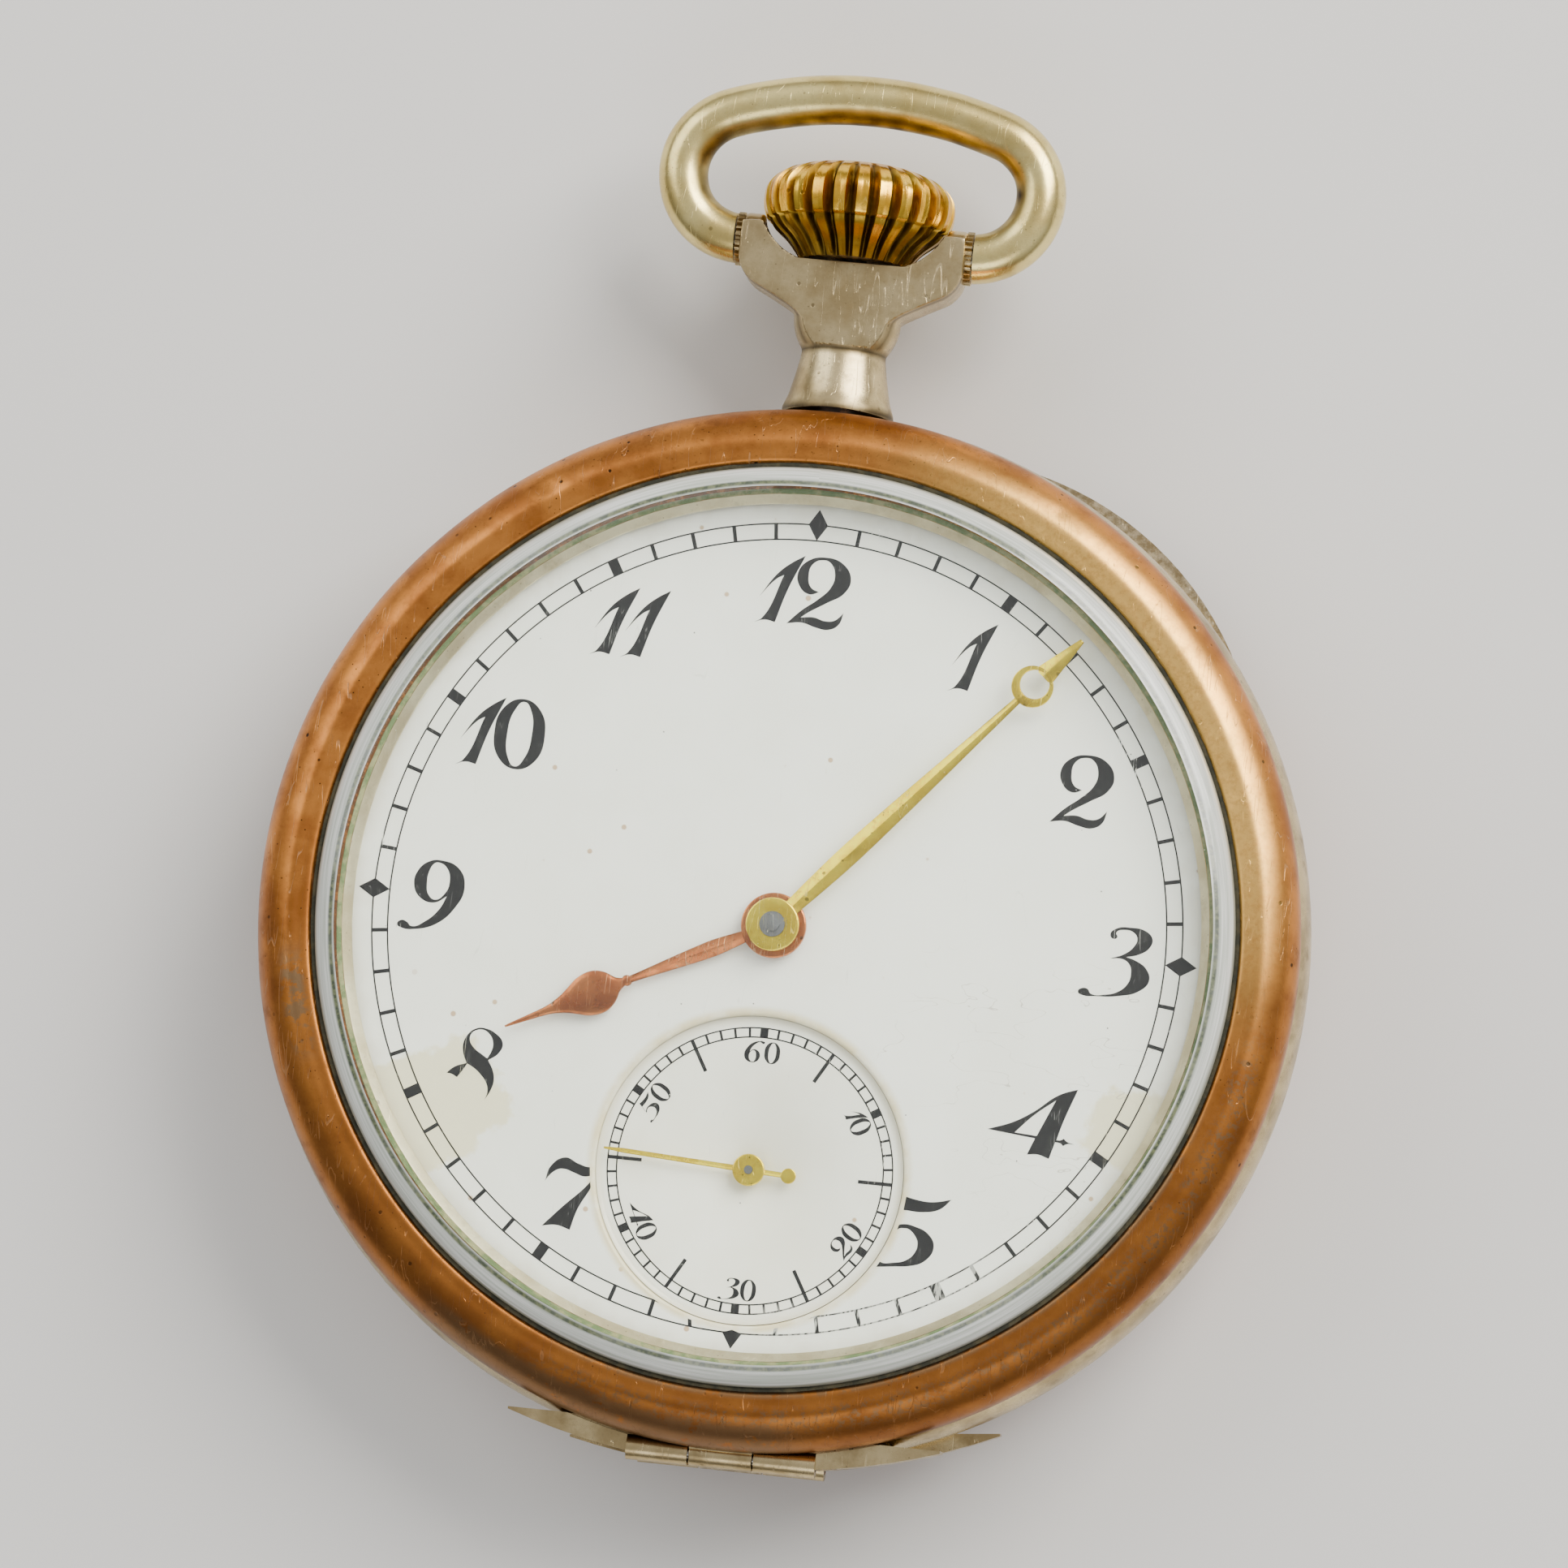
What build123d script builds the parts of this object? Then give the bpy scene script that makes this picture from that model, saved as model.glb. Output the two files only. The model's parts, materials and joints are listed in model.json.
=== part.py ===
from build123d import *
import math
import os

# Open face pocket watch, dial up, lying on its back.
# Frame: origin at the centre of the back cover's flat rest face, +Z towards the dial side,
# +Y towards the pendant at 12 o'clock, +X towards 3 o'clock. All sizes are in millimetres.

# ---- Case ----
CASE_RADIUS = 25.25             # widest radius of the middle case
CASE_LOW, CASE_WAIST, CASE_TOP = 3.9, 6.1, 8.3
CASE_EDGE_RADIUS = 24.65        # where the middle case meets the bezel and the back cover
MOVEMENT_BORE = 21.6            # bore of the middle case that takes the movement
SHELF_RADIUS = 20.9             # shelf inside the bore, under the main plate
CUVETTE_BORE = 22.4             # rebate that takes the cuvette's rim
BEZEL_LOW, BEZEL_TOP = 8.35, 11.2
BEZEL_RADIUS = 24.86
BEZEL_LIP_RADIUS = 20.15        # inner edge of the bezel, around the visible dial
CRYSTAL_SEAT_Z = 10.45
CRYSTAL_SEAT_RADIUS = 21.95
CRYSTAL_RADIUS = 21.85
CRYSTAL_TOP = 13.2
COVER_RADIUS = 24.6             # back cover
COVER_FLAT_RADIUS = 13.0        # flat that the watch rests on
COVER_SHOULDER_Z = 2.2
COVER_TOP = 3.8
COVER_WALL = 0.55
CUVETTE_RADIUS = 22.3
CUVETTE_LOW, CUVETTE_TOP = 3.0, 3.4

# ---- Hinges at 6 o'clock: each is three knuckles on one pin ----
HINGE_Y = -25.1
BEZEL_HINGE_Z, COVER_HINGE_Z = 8.6, 3.7
KNUCKLE_RADIUS, PIN_RADIUS = 0.6, 0.27
KNUCKLE_HALF_LENGTH, HINGE_HALF_LENGTH = 1.5, 4.5
LIP_ARC_RADIUS, LIP_REACH, LIP_TOP = 32.3, 25.6, 9.0
LIP_HALF_LENGTH, LIP_INNER_Y, LOWER_LIP_TURN = 10.3, -23.8, 6.0
CUVETTE_HINGE_Y, CUVETTE_HINGE_Z = -23.0, 3.2
CUVETTE_KNUCKLE_RADIUS, CUVETTE_PIN_RADIUS = 0.38, 0.18
CUVETTE_KNUCKLE_HALF, CUVETTE_HINGE_HALF = 1.2, 3.2
RUNNING_GAP = 0.03              # radial gap of a pin in its bore
KNUCKLE_GAP = 0.08              # gap around and between knuckles

# ---- Pendant, bow and crown, on the stem's axis ----
STEM_Z = 6.5
NECK_BASE_RADIUS, NECK_WAIST_RADIUS = 2.65, 1.9
BALL_Y, BALL_RADIUS = 29.9, 2.6
SEAT_Y = 32.4                   # floor of the yoke, under the crown
PIVOT_Y = 33.3                  # axis that the bow swings about
EAR_RADIUS, EAR_INNER_X, EAR_OUTER_X = 1.3, 4.45, 5.4
BUSH_FLANGE_X, BOW_END_X = 5.72, 5.8
BUSH_RADIUS, BUSH_BORE, BOW_PIN_RADIUS = 0.9, 0.62, 0.55
BOW_WIRE_RADIUS = 1.225
BOW_CENTRE_Y = 36.45
BOW_SIDE_RADIUS = 3.15
BOW_HALF_WIDTH, BOW_HALF_HEIGHT = 8.7, 4.1
CROWN_FLUTES = 26
CROWN_BASE_Y, CROWN_TOP_Y = 32.5, 37.2
STEM_RADIUS = 0.6
SLEEVE_RADIUS, SLEEVE_BORE = 1.3, 0.68

# ---- Dial and hands ----
DIAL_RADIUS, DIAL_LOW = 21.3, 9.0
SECONDS_Y = -11.57              # centre of the sunk seconds dial, on the fourth wheel's axis
SECONDS_RADIUS = 7.3
SECONDS_TOP = 9.3
HOUR_ANGLE, MINUTE_ANGLE, SECOND_ANGLE = 243.6, 42.0, 273.5     # clockwise from 12

# ---- Plates and bridges ----
PLATE_RADIUS, PLATE_LOW, PLATE_TOP = 21.5, 7.2, 8.9
RECESS_Z = 7.9                  # floor of the motion work's recess in the dial side
BRIDGE_LOW, BRIDGE_TOP = 4.1, 4.95
COCK_LOW, COCK_TOP = 3.9, 4.7
PALLET_BRIDGE_LOW, PALLET_BRIDGE_TOP = 5.85, 6.25
SCREW_RADIUS, SCREW_HEAD_RADIUS = 0.45, 0.9
JEWEL_RADIUS = 0.8
FIT = 0.01                      # gap between pieces that are pressed or pinned together

# ---- Going train: (teeth, leaves, module) of each mesh ----
BARREL_TEETH, CENTER_LEAVES, BARREL_MODULE = 80, 10, 0.19
CENTER_TEETH, THIRD_LEAVES, CENTER_MODULE = 80, 10, 0.165
THIRD_TEETH, FOURTH_LEAVES, THIRD_MODULE = 75, 10, 0.13
FOURTH_TEETH, ESCAPE_LEAVES, FOURTH_MODULE = 80, 8, 0.115
CANNON_LEAVES, MINUTE_TEETH, MOTION_MODULE = 12, 36, 0.15
MINUTE_LEAVES, HOUR_TEETH, HOUR_MODULE = 10, 40, 0.144
SETTING_TEETH = 24
CROWN_WHEEL_TEETH, RATCHET_TEETH = 26, 52
WINDING_TEETH = 16
ESCAPE_TEETH, ESCAPE_RADIUS = 15, 3.75
BALANCE_RIM_RADIUS = 7.6


def polar(radius, angle, center=(0.0, 0.0)):
    """Point at a radius and an angle (degrees, counter-clockwise from +X) about a centre."""
    turn = math.radians(angle)
    return (center[0] + radius * math.cos(turn), center[1] + radius * math.sin(turn))


def mesh_distance(teeth, leaves, module):
    """Distance between the axes of two meshing gears."""
    return module * (teeth + leaves) / 2


# ---- Axes of the arbors, seen from the dial side ----
CENTER = (0.0, 0.0)
FOURTH = (0.0, SECONDS_Y)
BARREL = polar(mesh_distance(BARREL_TEETH, CENTER_LEAVES, BARREL_MODULE), 33.0)


def third_axis():
    """The third arbor stands where both its meshes have their right distance."""
    to_center = mesh_distance(CENTER_TEETH, THIRD_LEAVES, CENTER_MODULE)
    to_fourth = mesh_distance(THIRD_TEETH, FOURTH_LEAVES, THIRD_MODULE)
    along = (to_center**2 - to_fourth**2 + SECONDS_Y**2) / (2 * -SECONDS_Y)
    return (math.sqrt(to_center**2 - along**2), -along)


THIRD = third_axis()
ESCAPE = polar(mesh_distance(FOURTH_TEETH, ESCAPE_LEAVES, FOURTH_MODULE), 160.0, FOURTH)
ESCAPE_TO_PALLET_ANGLE = 140.0
PALLET = polar(4.33, ESCAPE_TO_PALLET_ANGLE, ESCAPE)
PALLET_TO_BALANCE = 5.0
BALANCE = polar(PALLET_TO_BALANCE, ESCAPE_TO_PALLET_ANGLE, PALLET)
CROWN_WHEEL = (0.0, 10.8)
MINUTE_WHEEL = (0.0, mesh_distance(MINUTE_TEETH, CANNON_LEAVES, MOTION_MODULE))
SETTING_WHEEL = (0.0, MINUTE_WHEEL[1] + mesh_distance(MINUTE_TEETH, SETTING_TEETH, MOTION_MODULE))
RATCHET_MODULE = 2 * math.dist(BARREL, CROWN_WHEEL) / (RATCHET_TEETH + CROWN_WHEEL_TEETH)

# ---- Pillars and screws that hold the bridges to the main plate ----
BARREL_PILLARS = ((16.0, 9.5), (14.0, -4.0), (-6.0, 14.5))
TRAIN_PILLARS = ((11.5, -9.0), (-7.5, -16.0), (6.5, -17.5))
PILLAR_RADIUS = 1.9
COCK_FOOT, COCK_FOOT_RADIUS = (-13.0, 8.5), 2.4
PALLET_PILLAR_RADIUS, PALLET_PILLAR_OFFSET = 0.55, 3.2
PALLET_PILLARS = tuple(
    polar(side * PALLET_PILLAR_OFFSET, ESCAPE_TO_PALLET_ANGLE + 90, PALLET) for side in (-1, 1)
)
CASE_SCREWS = (polar(20.3, -60.0), polar(20.3, 140.0))
DIAL_FEET = tuple(polar(18.5, angle) for angle in (60.0, 150.0, 310.0))
LEVER_PIVOT, LEVER_NOSE = (-3.6, 16.2), (0.0, 15.8)
YOKE_PIVOT = (-5.0, 10.6)
CLICK_PIVOT = polar(7.65, 8.0, BARREL)


# ---- Shapes that many pieces share ----
def disc(radius, low, high, center=(0.0, 0.0)):
    """Round plate between two heights."""
    return Pos(center[0], center[1], (low + high) / 2) * Cylinder(radius, high - low)


def ring(inner, outer, low, high, center=(0.0, 0.0)):
    """Flat ring between two heights."""
    band = Circle(outer) - Circle(inner)
    return Pos(center[0], center[1], low) * extrude(band, high - low)


def block(x_span, y_span, z_span):
    """Box from three (low, high) pairs."""
    size = [high - low for low, high in (x_span, y_span, z_span)]
    middle = [(high + low) / 2 for low, high in (x_span, y_span, z_span)]
    return Pos(*middle) * Box(*size)


def plate(outline, low, high):
    """Flat outline, a list of (x, y) corners, between two heights."""
    face = make_face(Polyline(*outline, close=True))
    return Pos(0, 0, low) * extrude(face, high - low)


def turned(*edges):
    """Solid of revolution about Z from edges drawn in radius and height."""
    return revolve(Plane.XZ * make_face(Curve() + list(edges)), Axis.Z)


def cap_arc(edge, top):
    """Arc of a dome centred on the axis, from its edge to its top, in radius and height."""
    (edge_radius, edge_z), (_, top_z) = edge, top
    rise = top_z - edge_z
    dome_radius = (edge_radius**2 + rise**2) / (2 * rise)
    half_way = edge_radius / 2
    middle = (half_way, top_z - dome_radius + math.sqrt(dome_radius**2 - half_way**2))
    return ThreePointArc(edge, middle, top)


def turned_outline(corners):
    """Solid of revolution about Z from straight corners, (radius, height)."""
    return turned(Polyline(*corners, close=True))


def bar_x(radius, x_low, x_high, y, z):
    """Round bar along X."""
    return Pos((x_low + x_high) / 2, y, z) * Rot(0, 90, 0) * Cylinder(radius, x_high - x_low)


def bar_y(radius, y_low, y_high, x=0.0, z=STEM_Z):
    """Round bar along Y."""
    return Pos(x, (y_low + y_high) / 2, z) * Rot(90, 0, 0) * Cylinder(radius, y_high - y_low)


def fused(pieces):
    """One solid from overlapping or touching pieces."""
    result = None
    for piece in pieces:
        result = piece if result is None else result + piece
    return result


def group(pieces):
    """Separate solids that share one node."""
    return Compound(children=[solid for piece in pieces for solid in piece.solids()])


def hull_plate(circles, low, high):
    """Flat plate around circles, each an (x, y, radius)."""
    edges = [edge for x, y, radius in circles for edge in (Pos(x, y) * Circle(radius)).edges()]
    return Pos(0, 0, low) * extrude(make_hull(edges), high - low)


def arbor(center, steps):
    """Turned arbor from (radius, low, high) steps."""
    return fused(disc(radius, low, high, center) for radius, low, high in steps)


# ---- Gears: straight-sided teeth, thin enough to leave backlash ----
ADDENDUM, DEDENDUM = 1.0, 1.15          # in modules
TOOTH_ROOT, TOOTH_TIP = 0.30, 0.10      # half widths at root and tip, in parts of the pitch


def gear_outline(teeth, module, phase):
    """Closed gear outline with a tooth centred on the phase angle."""
    pitch_radius = module * teeth / 2
    root, tip = pitch_radius - DEDENDUM * module, pitch_radius + ADDENDUM * module
    corners = ((root, -TOOTH_ROOT), (tip, -TOOTH_TIP), (tip, TOOTH_TIP), (root, TOOTH_ROOT))
    pitch = 360 / teeth
    points = [
        polar(radius, phase + (tooth + offset) * pitch)
        for tooth in range(teeth)
        for radius, offset in corners
    ]
    return make_face(Polyline(*points, close=True))


def gear(center, teeth, module, phase, low, high):
    """Gear blank with teeth, between two heights."""
    return Pos(center[0], center[1], low) * extrude(gear_outline(teeth, module, phase), high - low)


def meshing_phase(angle, teeth, mate_phase, mate_teeth):
    """Phase that puts a gap opposite the mate's tooth; the angle points from the mate to the gear."""
    mate_place = (angle - mate_phase) * mate_teeth / 360
    return angle + 180 - (0.5 - mate_place) * 360 / teeth


def direction(start, end):
    """Angle of the line from one axis to another."""
    return math.degrees(math.atan2(end[1] - start[1], end[0] - start[0]))


def windows(center, inner, outer, spokes, spoke_width, low, high):
    """Openings between the spokes of a crossed-out wheel."""
    openings = ring(inner, outer, low, high, center)
    for spoke in range(spokes):
        arm = Pos(outer / 2, 0, (low + high) / 2) * Box(outer, spoke_width, 2 * (high - low))
        openings -= Pos(*center) * Rot(0, 0, 360 * spoke / spokes) * arm
    return openings


def crossed_wheel(center, teeth, module, phase, low, high, bore, hub, spokes=5):
    """Train wheel: a toothed rim on spokes, with a bore for its pinion."""
    rim = module * teeth / 2 - 3.5 * module - 0.3
    blank = gear(center, teeth, module, phase, low, high)
    return blank - windows(center, hub, rim, spokes, 0.45, low, high) - disc(bore, low, high, center)


def spiral(center, inner, pitch, half_turns, thickness, low, high):
    """Flat spiral spring of half circles, whose centres alternate so that each joins the next."""
    outside, inside = [], []
    for turn in range(half_turns):
        radius = inner + turn * pitch / 2
        middle = (center[0] + (turn % 2) * pitch / 2, center[1])
        start = 180 * (turn % 2)
        outside.append(CenterArc(middle, radius + thickness, start, 180))
        inside.append(CenterArc(middle, radius, start, 180))
    first_cap = Line(inside[0] @ 0, outside[0] @ 0)
    last_cap = Line(inside[-1] @ 1, outside[-1] @ 1)
    return Pos(0, 0, low) * extrude(make_face(outside + inside + [first_cap, last_cap]), high - low)


# ---- Case ----
def crescent(peak_radius, half_chord, heading, low, high):
    """Crescent that stands proud of the case's round edge, centred on a heading."""
    chord_height = math.sqrt(CASE_RADIUS**2 - half_chord**2)
    rise = peak_radius - chord_height
    radius = (half_chord**2 + rise**2) / (2 * rise)
    moon = disc(radius, low, high, polar(peak_radius - radius, heading))
    return moon - disc(COVER_RADIUS - COVER_WALL, low, high)


def hinge_lip(turn, low, high):
    """Lip across 6 o'clock, flatter than the case, with thin tips that stand proud of it."""
    lip = disc(LIP_ARC_RADIUS, low, high, (0, LIP_ARC_RADIUS - LIP_REACH))
    lip &= block((-LIP_HALF_LENGTH, LIP_HALF_LENGTH), (-27.0, LIP_INNER_Y), (low, high))
    return Rot(0, 0, turn) * (lip - disc(COVER_RADIUS - COVER_WALL, low, high))


def knuckles(y, z, radius, inner, outer):
    """The two outer knuckles of a hinge."""
    return bar_x(radius, -outer, -inner, y, z) + bar_x(radius, inner, outer, y, z)


def hinge_web(y_in, z_low, z_high):
    """Tongue that joins a centre knuckle to its lid."""
    half = KNUCKLE_HALF_LENGTH
    return block((-half, half), (HINGE_Y, y_in), (z_low, z_high))


def pin_bore(y, z, radius):
    return bar_x(radius + RUNNING_GAP, -HINGE_HALF_LENGTH - 1, HINGE_HALF_LENGTH + 1, y, z)


def middle_case():
    low_edge, high_edge = (CASE_EDGE_RADIUS, CASE_LOW), (CASE_EDGE_RADIUS, CASE_TOP)
    band = turned(
        ThreePointArc(low_edge, (CASE_RADIUS, CASE_WAIST), high_edge),
        Polyline(
            high_edge, (MOVEMENT_BORE, CASE_TOP), (MOVEMENT_BORE, PLATE_LOW - 0.02),
            (SHELF_RADIUS, PLATE_LOW - 0.02), (SHELF_RADIUS, 6.9), (MOVEMENT_BORE, 6.9),
            (MOVEMENT_BORE, 4.5), (CUVETTE_BORE, 4.5), (CUVETTE_BORE, CASE_LOW), low_edge,
        ),
    )
    band += hinge_lip(0.0, 7.3, CASE_TOP) + hinge_lip(LOWER_LIP_TURN, CASE_LOW, 4.8)
    horns = hinge_lip(0.0, CASE_TOP - 0.1, LIP_TOP)
    horns -= disc(BEZEL_RADIUS + KNUCKLE_GAP, CASE_TOP - 0.2, LIP_TOP)
    horns -= block((-HINGE_HALF_LENGTH, HINGE_HALF_LENGTH), (-27.0, -20.0), (CASE_TOP - 0.2, LIP_TOP))
    band += horns
    notch_half = KNUCKLE_HALF_LENGTH + KNUCKLE_GAP
    for z in (BEZEL_HINGE_Z, COVER_HINGE_Z):
        band -= bar_x(KNUCKLE_RADIUS + KNUCKLE_GAP, -notch_half, notch_half, HINGE_Y, z)
        band += knuckles(HINGE_Y, z, KNUCKLE_RADIUS, notch_half, HINGE_HALF_LENGTH)
        band -= pin_bore(HINGE_Y, z, PIN_RADIUS)
    for side in (-1, 1):
        ends = sorted((side * (CUVETTE_KNUCKLE_HALF + KNUCKLE_GAP), side * CUVETTE_HINGE_HALF))
        post = block(ends, (CUVETTE_HINGE_Y - 0.3, CUVETTE_HINGE_Y + 0.3), (CUVETTE_HINGE_Z, 4.1))
        band += bar_x(CUVETTE_KNUCKLE_RADIUS, *ends, CUVETTE_HINGE_Y, CUVETTE_HINGE_Z) + post
    band -= pin_bore(CUVETTE_HINGE_Y, CUVETTE_HINGE_Z, CUVETTE_PIN_RADIUS)
    band -= bar_y(SLEEVE_BORE + 0.1, 20.0, 26.0)
    return band - bar_y(SLEEVE_RADIUS + FIT, 24.0, 27.0)


def fixed_knuckle_notches(lid, y, z, radius, inner, outer):
    """Cut a lid clear of the case's knuckles, which its own hinge turns around."""
    for side in (-1, 1):
        ends = sorted((side * inner, side * (outer + KNUCKLE_GAP)))
        lid -= bar_x(radius + KNUCKLE_GAP, *ends, y, z)
    return lid


def bezel():
    outer_low, outer_high = (24.5, BEZEL_LOW), (24.2, 10.65)
    top_edge = (22.05, 11.12)
    ring_body = turned(
        ThreePointArc(outer_low, (BEZEL_RADIUS, 9.3), outer_high),
        ThreePointArc(outer_high, (23.3, BEZEL_TOP), top_edge),
        Polyline(
            top_edge, (CRYSTAL_SEAT_RADIUS, 10.95), (CRYSTAL_SEAT_RADIUS, CRYSTAL_SEAT_Z),
            (20.56, CRYSTAL_SEAT_Z), (BEZEL_LIP_RADIUS, 10.0), (BEZEL_LIP_RADIUS, 9.75),
            (21.7, 9.75), (21.7, BEZEL_LOW), outer_low,
        ),
    )
    ring_body = fixed_knuckle_notches(
        ring_body, HINGE_Y, BEZEL_HINGE_Z, KNUCKLE_RADIUS, KNUCKLE_HALF_LENGTH, HINGE_HALF_LENGTH
    )
    half = KNUCKLE_HALF_LENGTH
    ring_body += bar_x(KNUCKLE_RADIUS, -half, half, HINGE_Y, BEZEL_HINGE_Z)
    ring_body += hinge_web(-24.0, BEZEL_HINGE_Z, BEZEL_HINGE_Z + KNUCKLE_RADIUS)
    return ring_body - pin_bore(HINGE_Y, BEZEL_HINGE_Z, PIN_RADIUS)


def crystal():
    bevel, inner_edge = (20.8, 11.9), (20.6, 11.2)
    outer_top, inner_top = (0, CRYSTAL_TOP), (0, CRYSTAL_TOP - 0.9)
    return turned(
        Line(inner_top, outer_top),
        cap_arc(bevel, outer_top),
        Polyline(
            bevel, (CRYSTAL_RADIUS, 11.1), (CRYSTAL_RADIUS, CRYSTAL_SEAT_Z),
            (20.9, CRYSTAL_SEAT_Z), inner_edge,
        ),
        cap_arc(inner_edge, inner_top),
    )


def tangent_dome(flat_radius, flat_z, radius, end_x):
    """Arc that leaves a flat disc smoothly and ends at a given distance from the axis."""
    end_turn = math.asin((end_x - flat_radius) / radius)
    points = [
        (flat_radius + radius * math.sin(turn), flat_z + radius * (1 - math.cos(turn)))
        for turn in (0.0, end_turn / 2, end_turn)
    ]
    return ThreePointArc(*points), points[-1]


def back_cover():
    run = COVER_RADIUS - COVER_FLAT_RADIUS
    dome_radius = run**2 / (2 * COVER_SHOULDER_Z) + COVER_SHOULDER_Z / 2
    outside, outer_end = tangent_dome(COVER_FLAT_RADIUS, 0.0, dome_radius, COVER_RADIUS - 0.01)
    rim_bore = COVER_RADIUS - COVER_WALL - 0.1
    inside, inner_end = tangent_dome(
        COVER_FLAT_RADIUS, COVER_WALL, dome_radius - COVER_WALL, rim_bore
    )
    shell = turned(
        Line((0, 0), (COVER_FLAT_RADIUS, 0)),
        outside,
        Polyline(
            outer_end, (COVER_RADIUS, COVER_SHOULDER_Z + 0.3), (COVER_RADIUS, COVER_TOP),
            (rim_bore, COVER_TOP), inner_end,
        ),
        inside,
        Polyline((COVER_FLAT_RADIUS, COVER_WALL), (0, COVER_WALL), (0, 0)),
    )
    shell += crescent(25.95, 7.4, 54.0, 3.0, 3.7)
    shell = fixed_knuckle_notches(
        shell, HINGE_Y, COVER_HINGE_Z, KNUCKLE_RADIUS, KNUCKLE_HALF_LENGTH, HINGE_HALF_LENGTH
    )
    half = KNUCKLE_HALF_LENGTH
    shell += bar_x(KNUCKLE_RADIUS, -half, half, HINGE_Y, COVER_HINGE_Z)
    shell += hinge_web(-24.0, COVER_HINGE_Z - KNUCKLE_RADIUS, COVER_HINGE_Z)
    return shell - pin_bore(HINGE_Y, COVER_HINGE_Z, PIN_RADIUS)


def cuvette():
    """Inner dust cover: a flat disc with an upturned rim."""
    lid = turned_outline([
        (0, CUVETTE_LOW), (CUVETTE_RADIUS - 0.2, CUVETTE_LOW), (CUVETTE_RADIUS, CUVETTE_LOW + 0.2),
        (CUVETTE_RADIUS, 4.2), (21.8, 4.2), (21.8, CUVETTE_TOP), (0, CUVETTE_TOP),
    ])
    half, radius = CUVETTE_KNUCKLE_HALF, CUVETTE_KNUCKLE_RADIUS
    lid = fixed_knuckle_notches(
        lid, CUVETTE_HINGE_Y, CUVETTE_HINGE_Z, radius, half, CUVETTE_HINGE_HALF
    )
    lid += bar_x(radius, -half, half, CUVETTE_HINGE_Y, CUVETTE_HINGE_Z)
    lid += block((-half, half), (CUVETTE_HINGE_Y, -22.0), (CUVETTE_LOW, CUVETTE_TOP))
    return lid - pin_bore(CUVETTE_HINGE_Y, CUVETTE_HINGE_Z, CUVETTE_PIN_RADIUS)


def hinge_pins():
    half = HINGE_HALF_LENGTH - 0.02
    return group([
        bar_x(PIN_RADIUS, -half, half, HINGE_Y, BEZEL_HINGE_Z),
        bar_x(PIN_RADIUS, -half, half, HINGE_Y, COVER_HINGE_Z),
        bar_x(CUVETTE_PIN_RADIUS, -3.18, 3.18, CUVETTE_HINGE_Y, CUVETTE_HINGE_Z),
    ])


def case_screws():
    """Screws whose heads overlap the case's shelf and hold the movement on it."""
    return group(
        disc(1.1, 6.3, 6.85, center) + disc(SCREW_RADIUS, 6.8, 8.0, center)
        for center in CASE_SCREWS
    )


# ---- Pendant, bow, crown ----
def turned_about_stem(*edges):
    """Solid of revolution about the stem's axis, from edges drawn in radius and height along Y."""
    return Pos(0, 0, STEM_Z) * revolve(make_face(Curve() + list(edges)), Axis.Y)


def pendant():
    waist = ((NECK_BASE_RADIUS, 25.6), (2.0, 27.0), (NECK_WAIST_RADIUS, 28.4))
    neck = turned_about_stem(
        Polyline((0, 23.5), (NECK_BASE_RADIUS, 23.5), waist[0]),
        ThreePointArc(*waist),
        Polyline(waist[-1], (NECK_WAIST_RADIUS, BALL_Y), (0, BALL_Y), (0, 23.5)),
    )
    neck += Pos(0, BALL_Y, STEM_Z) * Sphere(BALL_RADIUS)
    right = [
        (2.4, 30.2), (4.6, 31.9), (EAR_OUTER_X, 32.1), (EAR_OUTER_X, PIVOT_Y),
        (EAR_INNER_X, PIVOT_Y), (EAR_INNER_X, 32.8), (3.3, SEAT_Y),
    ]
    left = [(-x, y) for x, y in reversed(right)]
    neck += plate(right + left, STEM_Z - 1.2, STEM_Z + 1.1)
    neck -= block((-3.3, 3.3), (SEAT_Y, 35.0), (STEM_Z - 4.0, STEM_Z + 4.0))
    for side in (-1, 1):
        ends = sorted((side * EAR_INNER_X, side * EAR_OUTER_X))
        neck += bar_x(EAR_RADIUS, *ends, PIVOT_Y, STEM_Z)
    for side in (-1, 1):
        ends = sorted((side * (EAR_INNER_X - 0.2), side * (EAR_OUTER_X + 0.5)))
        neck -= bar_x(BUSH_RADIUS + FIT, *ends, PIVOT_Y, STEM_Z)
    neck -= bar_y(SLEEVE_RADIUS + FIT, 23.0, 33.4)
    low_edge, high_edge = (CASE_EDGE_RADIUS, CASE_LOW), (CASE_EDGE_RADIUS, CASE_TOP)
    band = turned(
        ThreePointArc(low_edge, (CASE_RADIUS, CASE_WAIST), high_edge),
        Polyline(high_edge, (0, CASE_TOP), (0, CASE_LOW), low_edge),
    )
    neck -= band
    neck -= disc(BEZEL_RADIUS + 0.1, CASE_TOP, CRYSTAL_TOP)
    return neck - disc(COVER_RADIUS + 0.1, 0.0, CASE_LOW)


def pendant_sleeve():
    """Sprung sleeve in the pendant that guides the stem."""
    return bar_y(SLEEVE_RADIUS, 24.1, 32.2) - bar_y(SLEEVE_BORE, 24.0, 32.4)


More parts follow.
